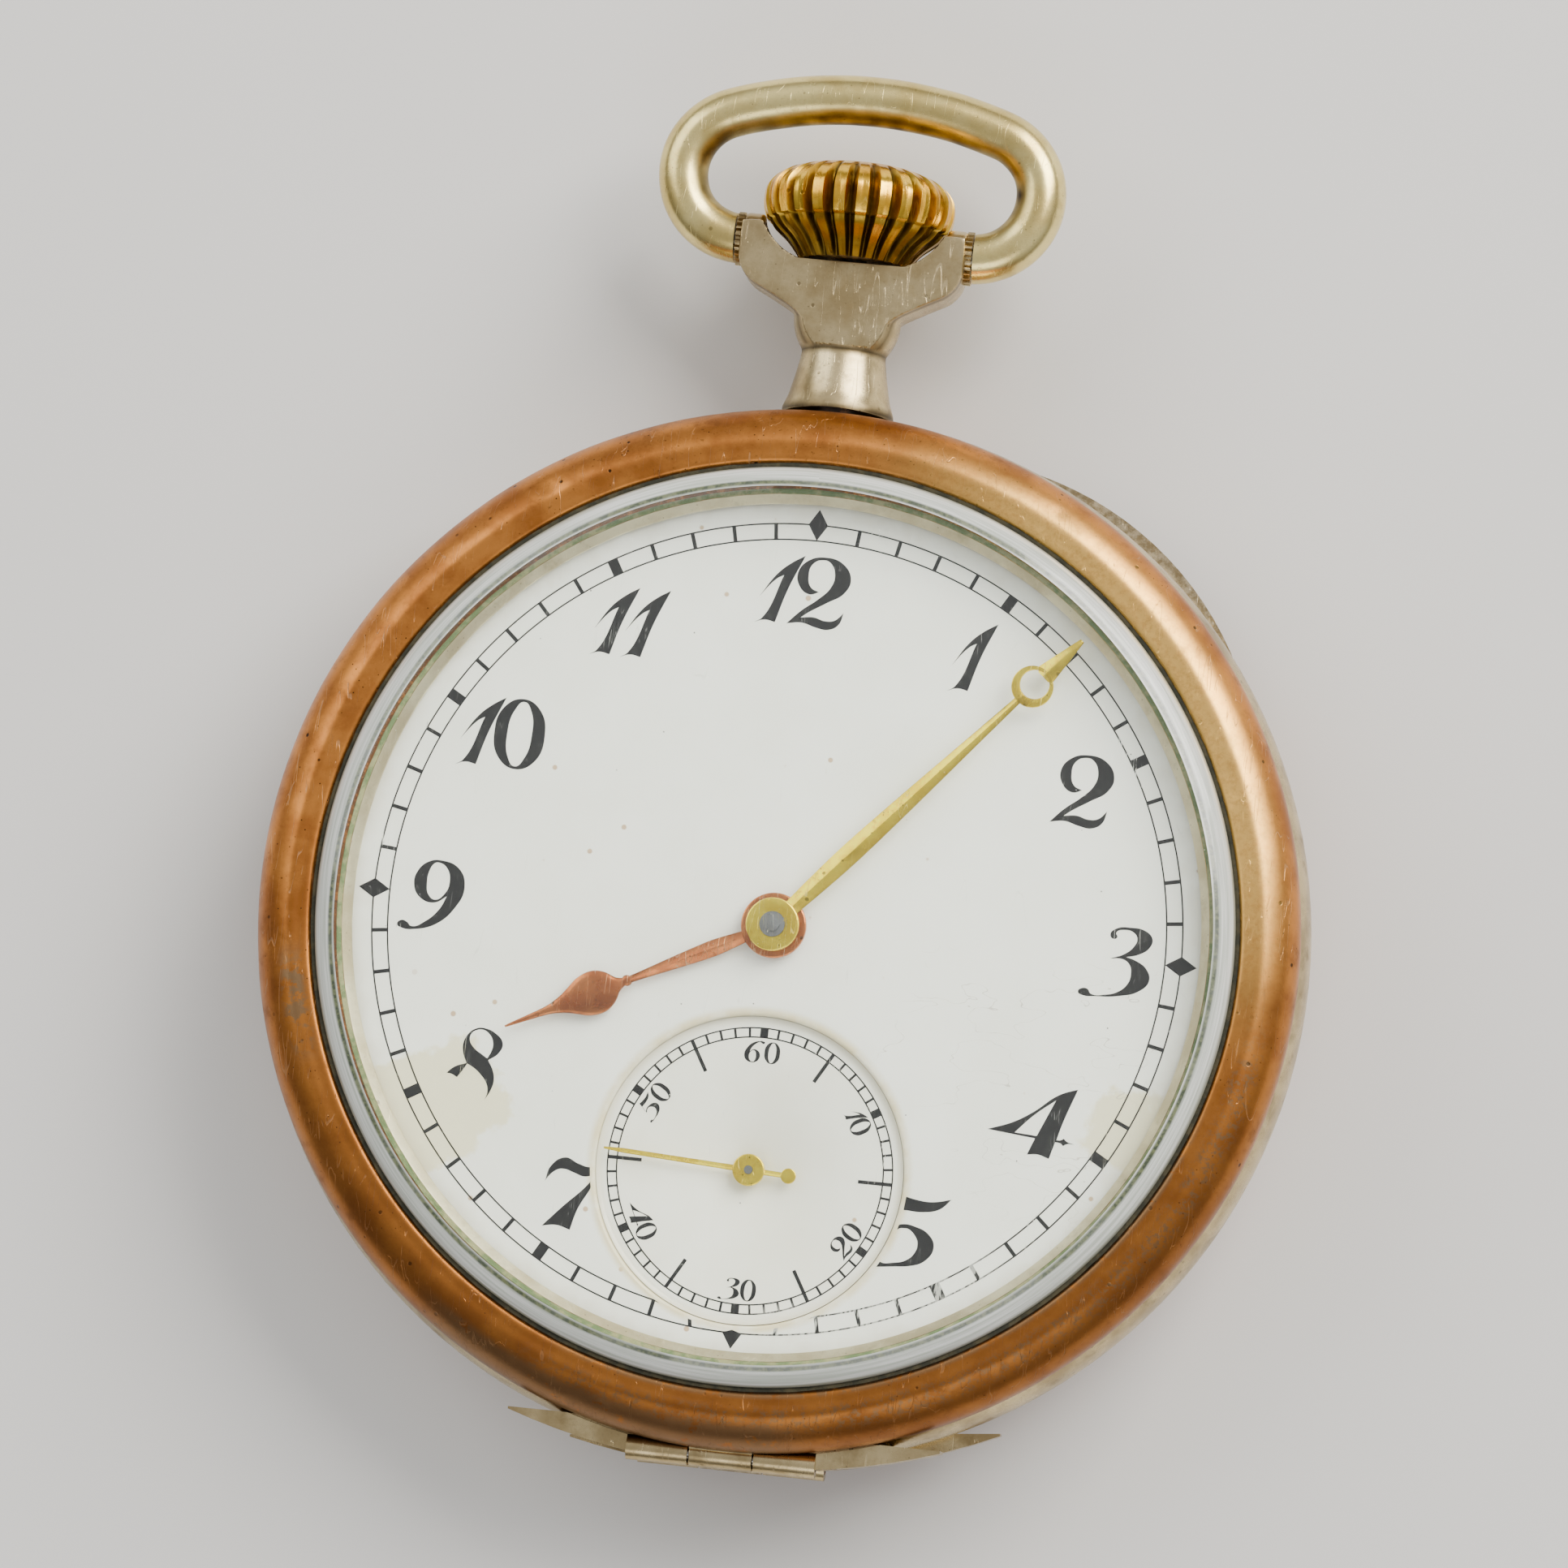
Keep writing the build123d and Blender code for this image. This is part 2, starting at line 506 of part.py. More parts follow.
def bow():
    """Round wire bent to an oval whose ends stand against the pendant's ears."""
    side_x = BOW_HALF_WIDTH - BOW_SIDE_RADIUS
    top_radius = (side_x**2 + BOW_HALF_HEIGHT**2 - BOW_SIDE_RADIUS**2) / (
        2 * (BOW_HALF_HEIGHT - BOW_SIDE_RADIUS))        # where its ends run into the side arcs
    top_y = BOW_CENTRE_Y + BOW_HALF_HEIGHT - top_radius
    joint = math.degrees(math.atan2(BOW_CENTRE_Y - top_y, side_x))
    end_x = BOW_END_X - 0.3
    start = -math.degrees(math.acos((end_x - side_x) / BOW_SIDE_RADIUS))
    path = (
        CenterArc((side_x, BOW_CENTRE_Y), BOW_SIDE_RADIUS, start, joint - start)
        + CenterArc((0, top_y), top_radius, joint, 180 - 2 * joint)
        + CenterArc((-side_x, BOW_CENTRE_Y), BOW_SIDE_RADIUS, 180 - joint, joint - start)
    )
    section = Plane(origin=path @ 0, z_dir=path % 0) * Circle(BOW_WIRE_RADIUS)
    wire = Pos(0, 0, STEM_Z) * sweep(section, path=path)
    gap = block((-BOW_END_X, BOW_END_X), (30.4, 35.4), (STEM_Z - 2, STEM_Z + 2))
    wire -= gap
    for side in (-1, 1):
        ends = sorted((side * (BOW_END_X - 0.1), side * 6.7))
        wire -= bar_x(BOW_PIN_RADIUS + FIT, *ends, PIVOT_Y, STEM_Z)
    return wire


def bow_pins():
    """Pins fixed in the bow's ends, which turn in the bushes."""
    return group([
        bar_x(BOW_PIN_RADIUS, 4.95, 6.65, PIVOT_Y, STEM_Z),
        bar_x(BOW_PIN_RADIUS, -6.65, -4.95, PIVOT_Y, STEM_Z),
    ])


def bow_bushings():
    """Bushes in the pendant's ears, each with a serrated flange."""
    bush = disc(BUSH_RADIUS, 4.6, EAR_OUTER_X)
    bush += gear(CENTER, 24, 0.1, 0.0, EAR_OUTER_X, BUSH_FLANGE_X)
    bush -= disc(BUSH_BORE, 4.0, 6.0)
    return group(Pos(0, PIVOT_Y, STEM_Z) * Rot(0, 90 * side, 0) * bush for side in (-1, 1))


def crown():
    """Fluted winding crown with a bore for the stem."""
    shoulder, belly, lip = (3.3, 33.55), (4.65, 35.4), (2.6, CROWN_TOP_Y)
    onion = turned_about_stem(
        Polyline((0, CROWN_BASE_Y), (NECK_BASE_RADIUS, CROWN_BASE_Y), shoulder),
        ThreePointArc(shoulder, (4.2, 34.45), belly),
        ThreePointArc(belly, (4.15, 36.65), lip),
        Polyline(lip, (0, CROWN_TOP_Y), (0, CROWN_BASE_Y)),
    )
    pitch = 360 / CROWN_FLUTES
    grooves = [
        disc(0.34, -37.7, -33.8, polar(4.72, flute * pitch)) for flute in range(CROWN_FLUTES)
    ]
    for groove in grooves:
        onion -= Pos(0, 0, STEM_Z) * Rot(90, 0, 0) * groove
    return onion - bar_y(STEM_RADIUS + FIT, CROWN_BASE_Y - 1, 34.5)


def winding_stem():
    """Stem with its pilot, the square that drives the clutch, and the setting lever's groove."""
    square = block((-0.45, 0.45), (10.3, 13.3), (STEM_Z - 0.45, STEM_Z + 0.45))
    return fused([
        bar_y(0.3, 9.5, 10.4), square, bar_y(STEM_RADIUS, 13.2, 15.5),
        bar_y(0.35, 15.4, 16.2), bar_y(STEM_RADIUS, 16.1, 34.4),
    ])


# ---- Dial and hands ----
def dial():
    """Slightly domed enamel disc with soldered feet and an opening for the sunk seconds dial."""
    edge, top = (DIAL_RADIUS, 9.45), (0, 9.75)
    face = turned(
        Polyline((0, DIAL_LOW), (DIAL_RADIUS, DIAL_LOW), edge),
        cap_arc(edge, top),
        Line(top, (0, DIAL_LOW)),
    )
    face -= disc(SECONDS_RADIUS, 8.5, 10.5, FOURTH)
    face -= disc(SECONDS_RADIUS + 0.25, 8.5, SECONDS_TOP, FOURTH)
    face -= disc(1.2, 8.5, 10.5)
    return fused([face] + [disc(0.4, 7.7, 9.2, foot) for foot in DIAL_FEET])


def seconds_dial():
    return ring(0.5, SECONDS_RADIUS + 0.23, DIAL_LOW, SECONDS_TOP - FIT, FOURTH)


def blade(half_widths, low, high):
    """Flat blade along +Y from (distance, half width) stations."""
    right = [(half, y) for y, half in half_widths]
    left = [(-half, y) for y, half in reversed(half_widths)]
    return plate(right + left, low, high)


def placed_hand(hand, center, clock_angle):
    return Pos(*center) * Rot(0, 0, -clock_angle) * hand


def hour_hand():
    stations = [
        (1.0, 0.22), (3.2, 0.36), (5.5, 0.24), (8.0, 0.17), (10.2, 0.3), (11.3, 0.14), (13.6, 0.06),
    ]
    hand = blade(stations, 10.15, 10.35)
    hand += disc(1.04, 10.15, 10.35, (0, 9.17))
    hand += disc(1.55, 10.1, 10.42)
    return placed_hand(hand - disc(0.95 + FIT, 10, 11), CENTER, HOUR_ANGLE)


def minute_hand():
    low, high = 10.6, 10.8
    hand = blade([(1.0, 0.38), (5.0, 0.5), (10.0, 0.34), (15.8, 0.17)], low, high)
    hand += disc(1.0, low, high, (0, 16.6))
    hand += blade([(17.3, 0.5), (19.8, 0.12)], low, high)
    hand += disc(1.265, 10.55, 11.0)
    hand -= disc(0.695, 10, 11.5, (0, 16.75))
    return placed_hand(hand - disc(0.6 + FIT, 10, 11.5), CENTER, MINUTE_ANGLE)


def seconds_hand():
    low, high = 9.78, 9.9
    hand = blade([(-1.9, 0.125), (6.0, 0.125), (6.96, 0.05)], low, high)
    hand += disc(0.365, low, high, (0, -1.9))
    hand += disc(0.76, 9.7, 9.98)
    return placed_hand(hand - disc(0.2 + FIT, 9, 11), FOURTH, SECOND_ANGLE)


# ---- Motion work, under the dial ----
HOUR_PHASE = 0.0
CANNON_PHASE = 90.0
MINUTE_PHASE = meshing_phase(90.0, MINUTE_TEETH, CANNON_PHASE, CANNON_LEAVES)
MINUTE_LEAF_PHASE = meshing_phase(90.0, MINUTE_LEAVES, HOUR_PHASE, HOUR_TEETH)
SETTING_PHASE = meshing_phase(90.0, SETTING_TEETH, MINUTE_PHASE, MINUTE_TEETH)


def cannon_pinion():
    pipe = gear(CENTER, CANNON_LEAVES, MOTION_MODULE, CANNON_PHASE, 8.0, 8.42)
    return pipe + disc(0.6, 8.4, 11.08) - disc(0.35 + FIT, 7, 12)


def hour_wheel():
    wheel = gear(CENTER, HOUR_TEETH, HOUR_MODULE, HOUR_PHASE, 8.52, 8.8)
    return wheel + disc(0.95, 8.7, 10.46) - disc(0.66, 8, 11)


def minute_wheel():
    wheel = gear(MINUTE_WHEEL, MINUTE_TEETH, MOTION_MODULE, MINUTE_PHASE, 8.0, 8.3)
    wheel += gear(MINUTE_WHEEL, MINUTE_LEAVES, HOUR_MODULE, MINUTE_LEAF_PHASE, 8.28, 8.82)
    return wheel - disc(0.4, 7, 9, MINUTE_WHEEL)


def setting_wheel():
    wheel = gear(SETTING_WHEEL, SETTING_TEETH, MOTION_MODULE, SETTING_PHASE, 8.0, 8.3)
    return wheel - disc(0.4, 7, 9, SETTING_WHEEL)


# ---- Plates, bridges and their jewels ----
# Each jewel: axis and radius of its pivot hole. Every one is JEWEL_HEIGHT thick.
JEWEL_HEIGHT = 0.4
PLATE_JEWELS = (
    (THIRD, 0.15), (ESCAPE, 0.15), (PALLET, 0.15), (BALANCE, 0.13), (FOURTH, 0.24), (CENTER, 0.5),
)
BRIDGE_JEWELS = ((THIRD, 0.15), (ESCAPE, 0.15), (FOURTH, 0.15), (CENTER, 0.4))


def jewels():
    """Bearing rings of all the arbors, set in the plate, bridges and cock."""
    stones = [
        ring(hole, JEWEL_RADIUS, PLATE_LOW + 0.05, PLATE_LOW + 0.05 + JEWEL_HEIGHT, axis)
        for axis, hole in PLATE_JEWELS
    ]
    stones += [
        ring(hole, JEWEL_RADIUS, BRIDGE_TOP - 0.45, BRIDGE_TOP - 0.05, axis)
        for axis, hole in BRIDGE_JEWELS
    ]
    stones.append(ring(0.13, JEWEL_RADIUS, COCK_TOP - 0.45, COCK_TOP - 0.05, BALANCE))
    stones.append(ring(0.15, 0.5, PALLET_BRIDGE_LOW + 0.05, PALLET_BRIDGE_TOP - 0.05, PALLET))
    return group(stones)


def main_plate():
    """Plate that carries the train on its back and the motion work on its dial side."""
    body = disc(PLATE_RADIUS, PLATE_LOW, PLATE_TOP)
    body -= disc(3.3, RECESS_Z, 10)
    body -= disc(3.1, RECESS_Z, 10, MINUTE_WHEEL)
    body -= disc(2.2, RECESS_Z, 10, SETTING_WHEEL)
    for axis, hole in PLATE_JEWELS:
        body -= disc(JEWEL_RADIUS + FIT, 7, PLATE_LOW + 0.5, axis)
    body -= disc(0.6, 7, 10, FOURTH)
    body -= disc(0.6, 7, 10, CENTER)
    body -= disc(0.65, 7, 8.2, BARREL)
    body -= block((-2.7, 2.7), (13.2, 14.95), (7, 10))
    body -= block((-1.7, 1.7), (10.05, 13.3), (7, 8.15))
    body -= block((-4.7, 0.8), (14.9, 18.3), (7, 7.75))
    for foot in DIAL_FEET:
        body -= disc(0.42, 7.6, 10, foot)
    for center in BARREL_PILLARS + TRAIN_PILLARS + (COCK_FOOT,) + CASE_SCREWS:
        body -= disc(SCREW_RADIUS + FIT, 7, 8.1, center)
    body += disc(0.35, RECESS_Z, 8.86, MINUTE_WHEEL)
    body += disc(0.35, RECESS_Z, 8.5, SETTING_WHEEL)
    body += disc(0.5, PLATE_LOW, 7.9, LEVER_PIVOT) - disc(0.5, 7.0, 7.2, LEVER_PIVOT)
    body += disc(0.4, 6.2, PLATE_LOW, YOKE_PIVOT)
    body += block((-0.7, 0.7), (9.4, 10.0), (5.7, PLATE_LOW))
    return body - bar_y(0.35, 9.0, 11.0)


def bridge(outline, pillars, holes):
    """Bridge on pillars, bored for its screws and jewels."""
    body = hull_plate(outline, BRIDGE_LOW, BRIDGE_TOP)
    for pillar in pillars:
        body += disc(PILLAR_RADIUS, BRIDGE_TOP - 0.1, PLATE_LOW, pillar)
    for pillar in pillars:
        body -= disc(SCREW_RADIUS + FIT, 3, 8, pillar)
    for axis in holes:
        body -= disc(JEWEL_RADIUS + FIT, 3, BRIDGE_TOP + 0.1, axis)
    return body


def barrel_bridge():
    corners = [(x, y, 2.2) for x, y in BARREL_PILLARS] + [(0, 0, 1.8), (*CROWN_WHEEL, 2.2)]
    body = bridge(corners, BARREL_PILLARS, (CENTER,))
    body -= block((-2.7, 2.7), (13.15, 17.0), (3, 6))
    body -= disc(0.65, 3, 6, BARREL)
    body += disc(0.8, 3.7, BRIDGE_LOW + 0.1, CROWN_WHEEL)
    body += disc(0.35, 3.7, BRIDGE_LOW + 0.1, CLICK_PIVOT)
    return body - disc(0.42, 3, 4.8, CROWN_WHEEL)


def train_bridge():
    corners = [(x, y, 2.2) for x, y in TRAIN_PILLARS]
    corners += [(*THIRD, 1.8), (*FOURTH, 1.8), (*ESCAPE, 1.6)]
    return bridge(corners, TRAIN_PILLARS, (THIRD, FOURTH, ESCAPE))


def balance_cock():
    body = hull_plate([(*BALANCE, 2.6), (*COCK_FOOT, COCK_FOOT_RADIUS)], COCK_LOW, COCK_TOP)
    body += disc(COCK_FOOT_RADIUS, COCK_TOP - 0.1, PLATE_LOW, COCK_FOOT)
    body -= disc(SCREW_RADIUS + FIT, 3, 8, COCK_FOOT)
    body -= disc(JEWEL_RADIUS + FIT, 3, 5, BALANCE)
    return body + disc(0.4, COCK_TOP - 0.1, 4.98, polar(3.95, 80.0, BALANCE))


def pallet_bridge():
    body = hull_plate([(*pillar, PALLET_PILLAR_RADIUS) for pillar in PALLET_PILLARS],
                      PALLET_BRIDGE_LOW, PALLET_BRIDGE_TOP)
    for pillar in PALLET_PILLARS:
        body += disc(PALLET_PILLAR_RADIUS, PALLET_BRIDGE_TOP - 0.1, PLATE_LOW, pillar)
    return body - disc(0.5 + FIT, 5, 7, PALLET)


def slotted_screw(center, head_radius, head_low, head_high, shank_high):
    """Screw with a slotted head on the bridge side."""
    body = disc(head_radius, head_low, head_high, center)
    body += disc(SCREW_RADIUS, head_high - 0.05, shank_high, center)
    slot = block((-2, 2), (-0.11, 0.11), (head_low - 0.1, head_low + 0.15))
    return body - Pos(*center) * Rot(0, 0, 35) * slot


def bridge_screws():
    """Screws of both bridges and the cock, and the crown wheel's screw."""
    screws = [
        slotted_screw(center, SCREW_HEAD_RADIUS, 3.6, BRIDGE_LOW - 0.02, 8.0)
        for center in BARREL_PILLARS + TRAIN_PILLARS
    ]
    screws.append(slotted_screw(COCK_FOOT, SCREW_HEAD_RADIUS, 3.5, COCK_LOW - 0.02, 8.0))
    crown_wheel_screw = disc(1.2, 3.5, 3.68, CROWN_WHEEL) + disc(0.4, 3.6, 4.75, CROWN_WHEEL)
    return group(screws + [crown_wheel_screw])


# ---- Power: barrel, ratchet and click ----
BARREL_PHASE = 0.0
CENTER_LEAF_PHASE = meshing_phase(
    direction(BARREL, CENTER), CENTER_LEAVES, BARREL_PHASE, BARREL_TEETH)
CROWN_WHEEL_PHASE = 90.0
RATCHET_PHASE = meshing_phase(
    direction(CROWN_WHEEL, BARREL), RATCHET_TEETH, CROWN_WHEEL_PHASE, CROWN_WHEEL_TEETH)


def barrel_drum():
    drum = gear(BARREL, BARREL_TEETH, BARREL_MODULE, BARREL_PHASE, 6.3, 6.65)
    drum += disc(6.9, 5.15, 6.4, BARREL)
    drum -= disc(6.6, 5.0, 6.45, BARREL)
    return drum - disc(0.65, 5, 7, BARREL)


def barrel_cover():
    return ring(0.65, 6.6 - FIT, 5.15, 5.35, BARREL)


def barrel_arbor():
    body = arbor(BARREL, [(0.6, 4.06, 8.0), (1.9, 5.4, 6.4)])
    square = Pos(*BARREL) * block((-0.6, 0.6), (-0.6, 0.6), (3.72, 4.08))
    return body + square - disc(0.42, 3, 4.7, BARREL)


def mainspring():
    return spiral(BARREL, 2.1, 0.62, 14, 0.14, 5.42, 6.38)


def ratchet_wheel():
    wheel = gear(BARREL, RATCHET_TEETH, RATCHET_MODULE, RATCHET_PHASE, 3.72, 4.04)
    return wheel - Pos(*BARREL) * block((-0.62, 0.62), (-0.62, 0.62), (3, 5))


def ratchet_screw():
    return disc(1.6, 3.5, 3.7, BARREL) + disc(0.4, 3.6, 4.6, BARREL)


def crown_wheel():
    wheel = gear(CROWN_WHEEL, CROWN_WHEEL_TEETH, RATCHET_MODULE, CROWN_WHEEL_PHASE, 3.72, 4.04)
    return wheel - disc(0.85, 3, 5, CROWN_WHEEL)


def click():
    """Pawl whose beak stands just clear of the ratchet's teeth."""
    tip_radius = RATCHET_MODULE * (RATCHET_TEETH / 2 + ADDENDUM) + 0.05
    beak = polar(tip_radius, -9.0, BARREL)
    heel = polar(0.7, -90.0, CLICK_PIVOT)
    side = polar(0.75, 0.0, CLICK_PIVOT)
    body = disc(0.8, 3.75, 4.04, CLICK_PIVOT)
    body += plate([polar(0.7, 190.0, CLICK_PIVOT), beak, heel, side], 3.75, 4.04)
    return body - disc(0.4, 3, 5, CLICK_PIVOT)


def click_spring():
    """Blade spring beside the click, on a round foot."""
    foot = polar(3.6, -55.0, CLICK_PIVOT)
    tip = polar(1.05, -25.0, CLICK_PIVOT)
    end = (tip[0] - 0.15, tip[1] + 0.6)
    strip = plate([foot, (foot[0] + 0.16, foot[1]), (tip[0] + 0.16, tip[1]), end, tip], 3.78, 4.02)
    return strip + disc(0.55, 3.7, BRIDGE_LOW, foot)


# ---- Going train ----
CENTER_PHASE = 0.0
THIRD_LEAF_PHASE = meshing_phase(
    direction(CENTER, THIRD), THIRD_LEAVES, CENTER_PHASE, CENTER_TEETH)
THIRD_PHASE = 0.0
FOURTH_LEAF_PHASE = meshing_phase(
    direction(THIRD, FOURTH), FOURTH_LEAVES, THIRD_PHASE, THIRD_TEETH)
FOURTH_PHASE = 0.0
ESCAPE_LEAF_PHASE = meshing_phase(
    direction(FOURTH, ESCAPE), ESCAPE_LEAVES, FOURTH_PHASE, FOURTH_TEETH)
ARBOR_RADIUS, PIVOT_RADIUS = 0.3, 0.11
SHOULDER_LOW, SHOULDER_HIGH = 5.0, 7.14         # ends of a train arbor's thick part
PIVOT_LOW, PIVOT_HIGH = 4.55, 7.6


def pinion(center, leaves, module, phase, low, high):
    """Leaves cut on an arbor with a pivot at each end."""
    body = arbor(center, [
        (PIVOT_RADIUS, PIVOT_LOW, PIVOT_HIGH),
        (ARBOR_RADIUS, SHOULDER_LOW, SHOULDER_HIGH),
    ])
    return body + gear(center, leaves, module, phase, low, high)


def center_pinion():
    body = arbor(CENTER, [(0.36, 4.5, 5.1), (0.45, 5.0, 7.8), (0.35, 7.7, 11.2)])
    return body + gear(CENTER, CENTER_LEAVES, BARREL_MODULE, CENTER_LEAF_PHASE, 6.2, 6.75)


def center_wheel():
    return crossed_wheel(
        CENTER, CENTER_TEETH, CENTER_MODULE, CENTER_PHASE, 6.85, 7.06, 0.45 + FIT, 1.5)


def third_pinion():
    return pinion(THIRD, THIRD_LEAVES, CENTER_MODULE, THIRD_LEAF_PHASE, 6.78, 7.1)


def third_wheel():
    return crossed_wheel(
        THIRD, THIRD_TEETH, THIRD_MODULE, THIRD_PHASE, 5.42, 5.62, ARBOR_RADIUS + FIT, 1.1)


def fourth_pinion():
    body = pinion(FOURTH, FOURTH_LEAVES, THIRD_MODULE, FOURTH_LEAF_PHASE, 5.3, 5.75)
    return body + disc(0.2, 7.0, 10.02, FOURTH)


def fourth_wheel():
    return crossed_wheel(
        FOURTH, FOURTH_TEETH, FOURTH_MODULE, FOURTH_PHASE, 6.0, 6.2, ARBOR_RADIUS + FIT, 1.0)


def escape_pinion():
    return pinion(ESCAPE, ESCAPE_LEAVES, FOURTH_MODULE, ESCAPE_LEAF_PHASE, 5.92, 6.3)


def escape_wheel():
    """Fifteen raked, club-headed teeth on a crossed-out rim."""
    low, high = 6.5, 6.7
    pitch = 360 / ESCAPE_TEETH
    tooth = ((3.0, 0.0), (3.55, 3.2), (3.62, 1.6), (ESCAPE_RADIUS, 5.4), (3.4, 6.0), (3.0, 7.6))
    points = [
        polar(radius, index * pitch + lean, ESCAPE)
        for index in range(ESCAPE_TEETH)
        for radius, lean in tooth
    ]
    wheel = plate(points, low, high) - windows(ESCAPE, 0.9, 2.6, 4, 0.4, low, high)
    return wheel - disc(ARBOR_RADIUS + FIT, low, high, ESCAPE)


# ---- Lever escapement and balance ----
FORK_LOW, FORK_HIGH = 6.75, 6.95


def toward_balance(along, across):
    """Point in the lever's own directions: along the line to the balance, and across it."""
    ahead = polar(along, ESCAPE_TO_PALLET_ANGLE, PALLET)
    return polar(across, ESCAPE_TO_PALLET_ANGLE + 90, ahead)


def pallet_fork():
    """Lever with two pallet arms and a forked end."""
    right = [(-0.9, 0.0), (-1.9, 0.95), (-1.65, 1.55), (-0.2, 0.75), (0.6, 0.25), (3.3, 0.2),
             (3.6, 0.5), (4.35, 0.55), (4.35, 0.22), (3.85, 0.22)]
    left = [(along, -across) for along, across in reversed(right[1:])]
    body = plate([toward_balance(*point) for point in right + left], FORK_LOW, FORK_HIGH)
    body += disc(0.5, FORK_LOW, FORK_HIGH, PALLET)
    arbor_body = arbor(PALLET, [(0.11, 5.95, PIVOT_HIGH), (0.25, 6.3, SHOULDER_HIGH)])
    return body + arbor_body


def pallet_stones():
    """Two ruby stones under the pallet arms, at the escape wheel's edge."""
    stones = []
    for side in (-1, 1):
        place = polar(ESCAPE_RADIUS + 0.12, ESCAPE_TO_PALLET_ANGLE + 29 * side, ESCAPE)
        stone = block((-0.45, 0.45), (-0.14, 0.14), (6.65, FORK_LOW))
        stones.append(Pos(*place) * Rot(0, 0, ESCAPE_TO_PALLET_ANGLE + 29 * side) * stone)
    return group(stones)


def balance_wheel():
    low, high = 5.12, 5.62
    wheel = ring(6.9, BALANCE_RIM_RADIUS, low, high, BALANCE)
    wheel += disc(0.9, 5.2, 5.5, BALANCE)
    for spoke in range(3):
        arm = block((0.6, 7.1), (-0.4, 0.4), (5.2, 5.5))
        wheel += Pos(*BALANCE) * Rot(0, 0, 120 * spoke) * arm
    return wheel - disc(0.35 + FIT, 5, 6, BALANCE)


def balance_screws():
    """Small weights screwed into the rim's edge."""
    count = 14
    screw = bar_x(0.26, BALANCE_RIM_RADIUS + FIT, 8.0, 0.0, 5.37)
    return group(Pos(*BALANCE) * Rot(0, 0, (turn + 0.5) * 360 / count) * screw for turn in range(count))


def balance_staff():
    """Staff with its spring collet, roller and impulse jewel."""
    body = arbor(BALANCE, [
        (0.09, 4.32, PIVOT_HIGH), (0.35, 4.76, SHOULDER_HIGH), (0.55, 4.76, 5.0), (1.15, 6.2, 6.45),
    ])
    jewel_at = polar(PALLET_TO_BALANCE - 4.1, ESCAPE_TO_PALLET_ANGLE + 180, BALANCE)
    return body + disc(0.15, 6.4, FORK_LOW + 0.06, jewel_at)


def hairspring():
    return spiral(BALANCE, 0.62, 0.42, 14, 0.06, 4.78, 4.94)


def regulator():
    """Index that turns on the cock and carries a long pointer."""
    heading = direction(BALANCE, COCK_FOOT)
    body = ring(JEWEL_RADIUS + 0.1, 1.6, 3.6, COCK_LOW - 0.02, BALANCE)
    pointer = block((1.4, 7.2), (-0.18, 0.18), (3.6, COCK_LOW - 0.02))
    return body + Pos(*BALANCE) * Rot(0, 0, heading) * pointer


# ---- Keyless work: winding and setting ----
CLUTCH_LOW_Y, CLUTCH_HIGH_Y = 10.9, 12.5
WINDING_LOW_Y, WINDING_HIGH_Y = 13.4, 14.7


def along_stem(piece, y):
    """Turn a piece made about Z so that it runs along the stem from a given place."""
    return Pos(0, y, STEM_Z) * Rot(-90, 0, 0) * piece


def winding_pinion():
    wheel = gear(CENTER, WINDING_TEETH, 0.26, 0.0, 0.0, WINDING_HIGH_Y - WINDING_LOW_Y)
    return along_stem(wheel - disc(0.65, -1, 2), WINDING_LOW_Y)


def sliding_pinion():
    """Clutch that slides on the stem's square, with a groove for the yoke."""
    length = CLUTCH_HIGH_Y - CLUTCH_LOW_Y
    body = gear(CENTER, 12, 0.2, 0.0, 0.0, 0.5)
    body += disc(0.95, 0.4, 1.2)
    body += disc(1.4, 1.1, length)
    body -= block((-0.5, 0.5), (-0.5, 0.5), (-1, 3))
    return along_stem(body, CLUTCH_LOW_Y)


def setting_lever():
    """Lever whose nose sits in the stem's groove."""
    low, high = 7.25, 7.6
    body = hull_plate([(*LEVER_PIVOT, 0.9), (*LEVER_NOSE, 0.3)], low, high)
    body += disc(0.2, 6.93, low + 0.1, LEVER_NOSE)
    return body - disc(0.55, 7, 8, LEVER_PIVOT)


def yoke():
    """Lever that moves the clutch along the stem."""
    low, high = STEM_Z - 0.15, STEM_Z + 0.15
    tip = (-1.25, CLUTCH_LOW_Y + 0.8)
    body = hull_plate([(*YOKE_PIVOT, 0.8), (*tip, 0.14)], low, high)
    return body - disc(0.44, 6, 7, YOKE_PIVOT)


def yoke_spring():
    """Bent blade that presses on the yoke, on a foot under the plate."""
    low, high = STEM_Z - 0.12, STEM_Z + 0.12
    corners = [(-9.0, 11.2), (-8.8, 11.2), (-6.6, 12.1), (-5.6, 11.75), (-5.6, 11.9), (-6.6, 12.3), (-9.0, 11.5)]
    return plate(corners, low, high) + disc(0.5, low, PLATE_LOW, (-9.0, 11.4))


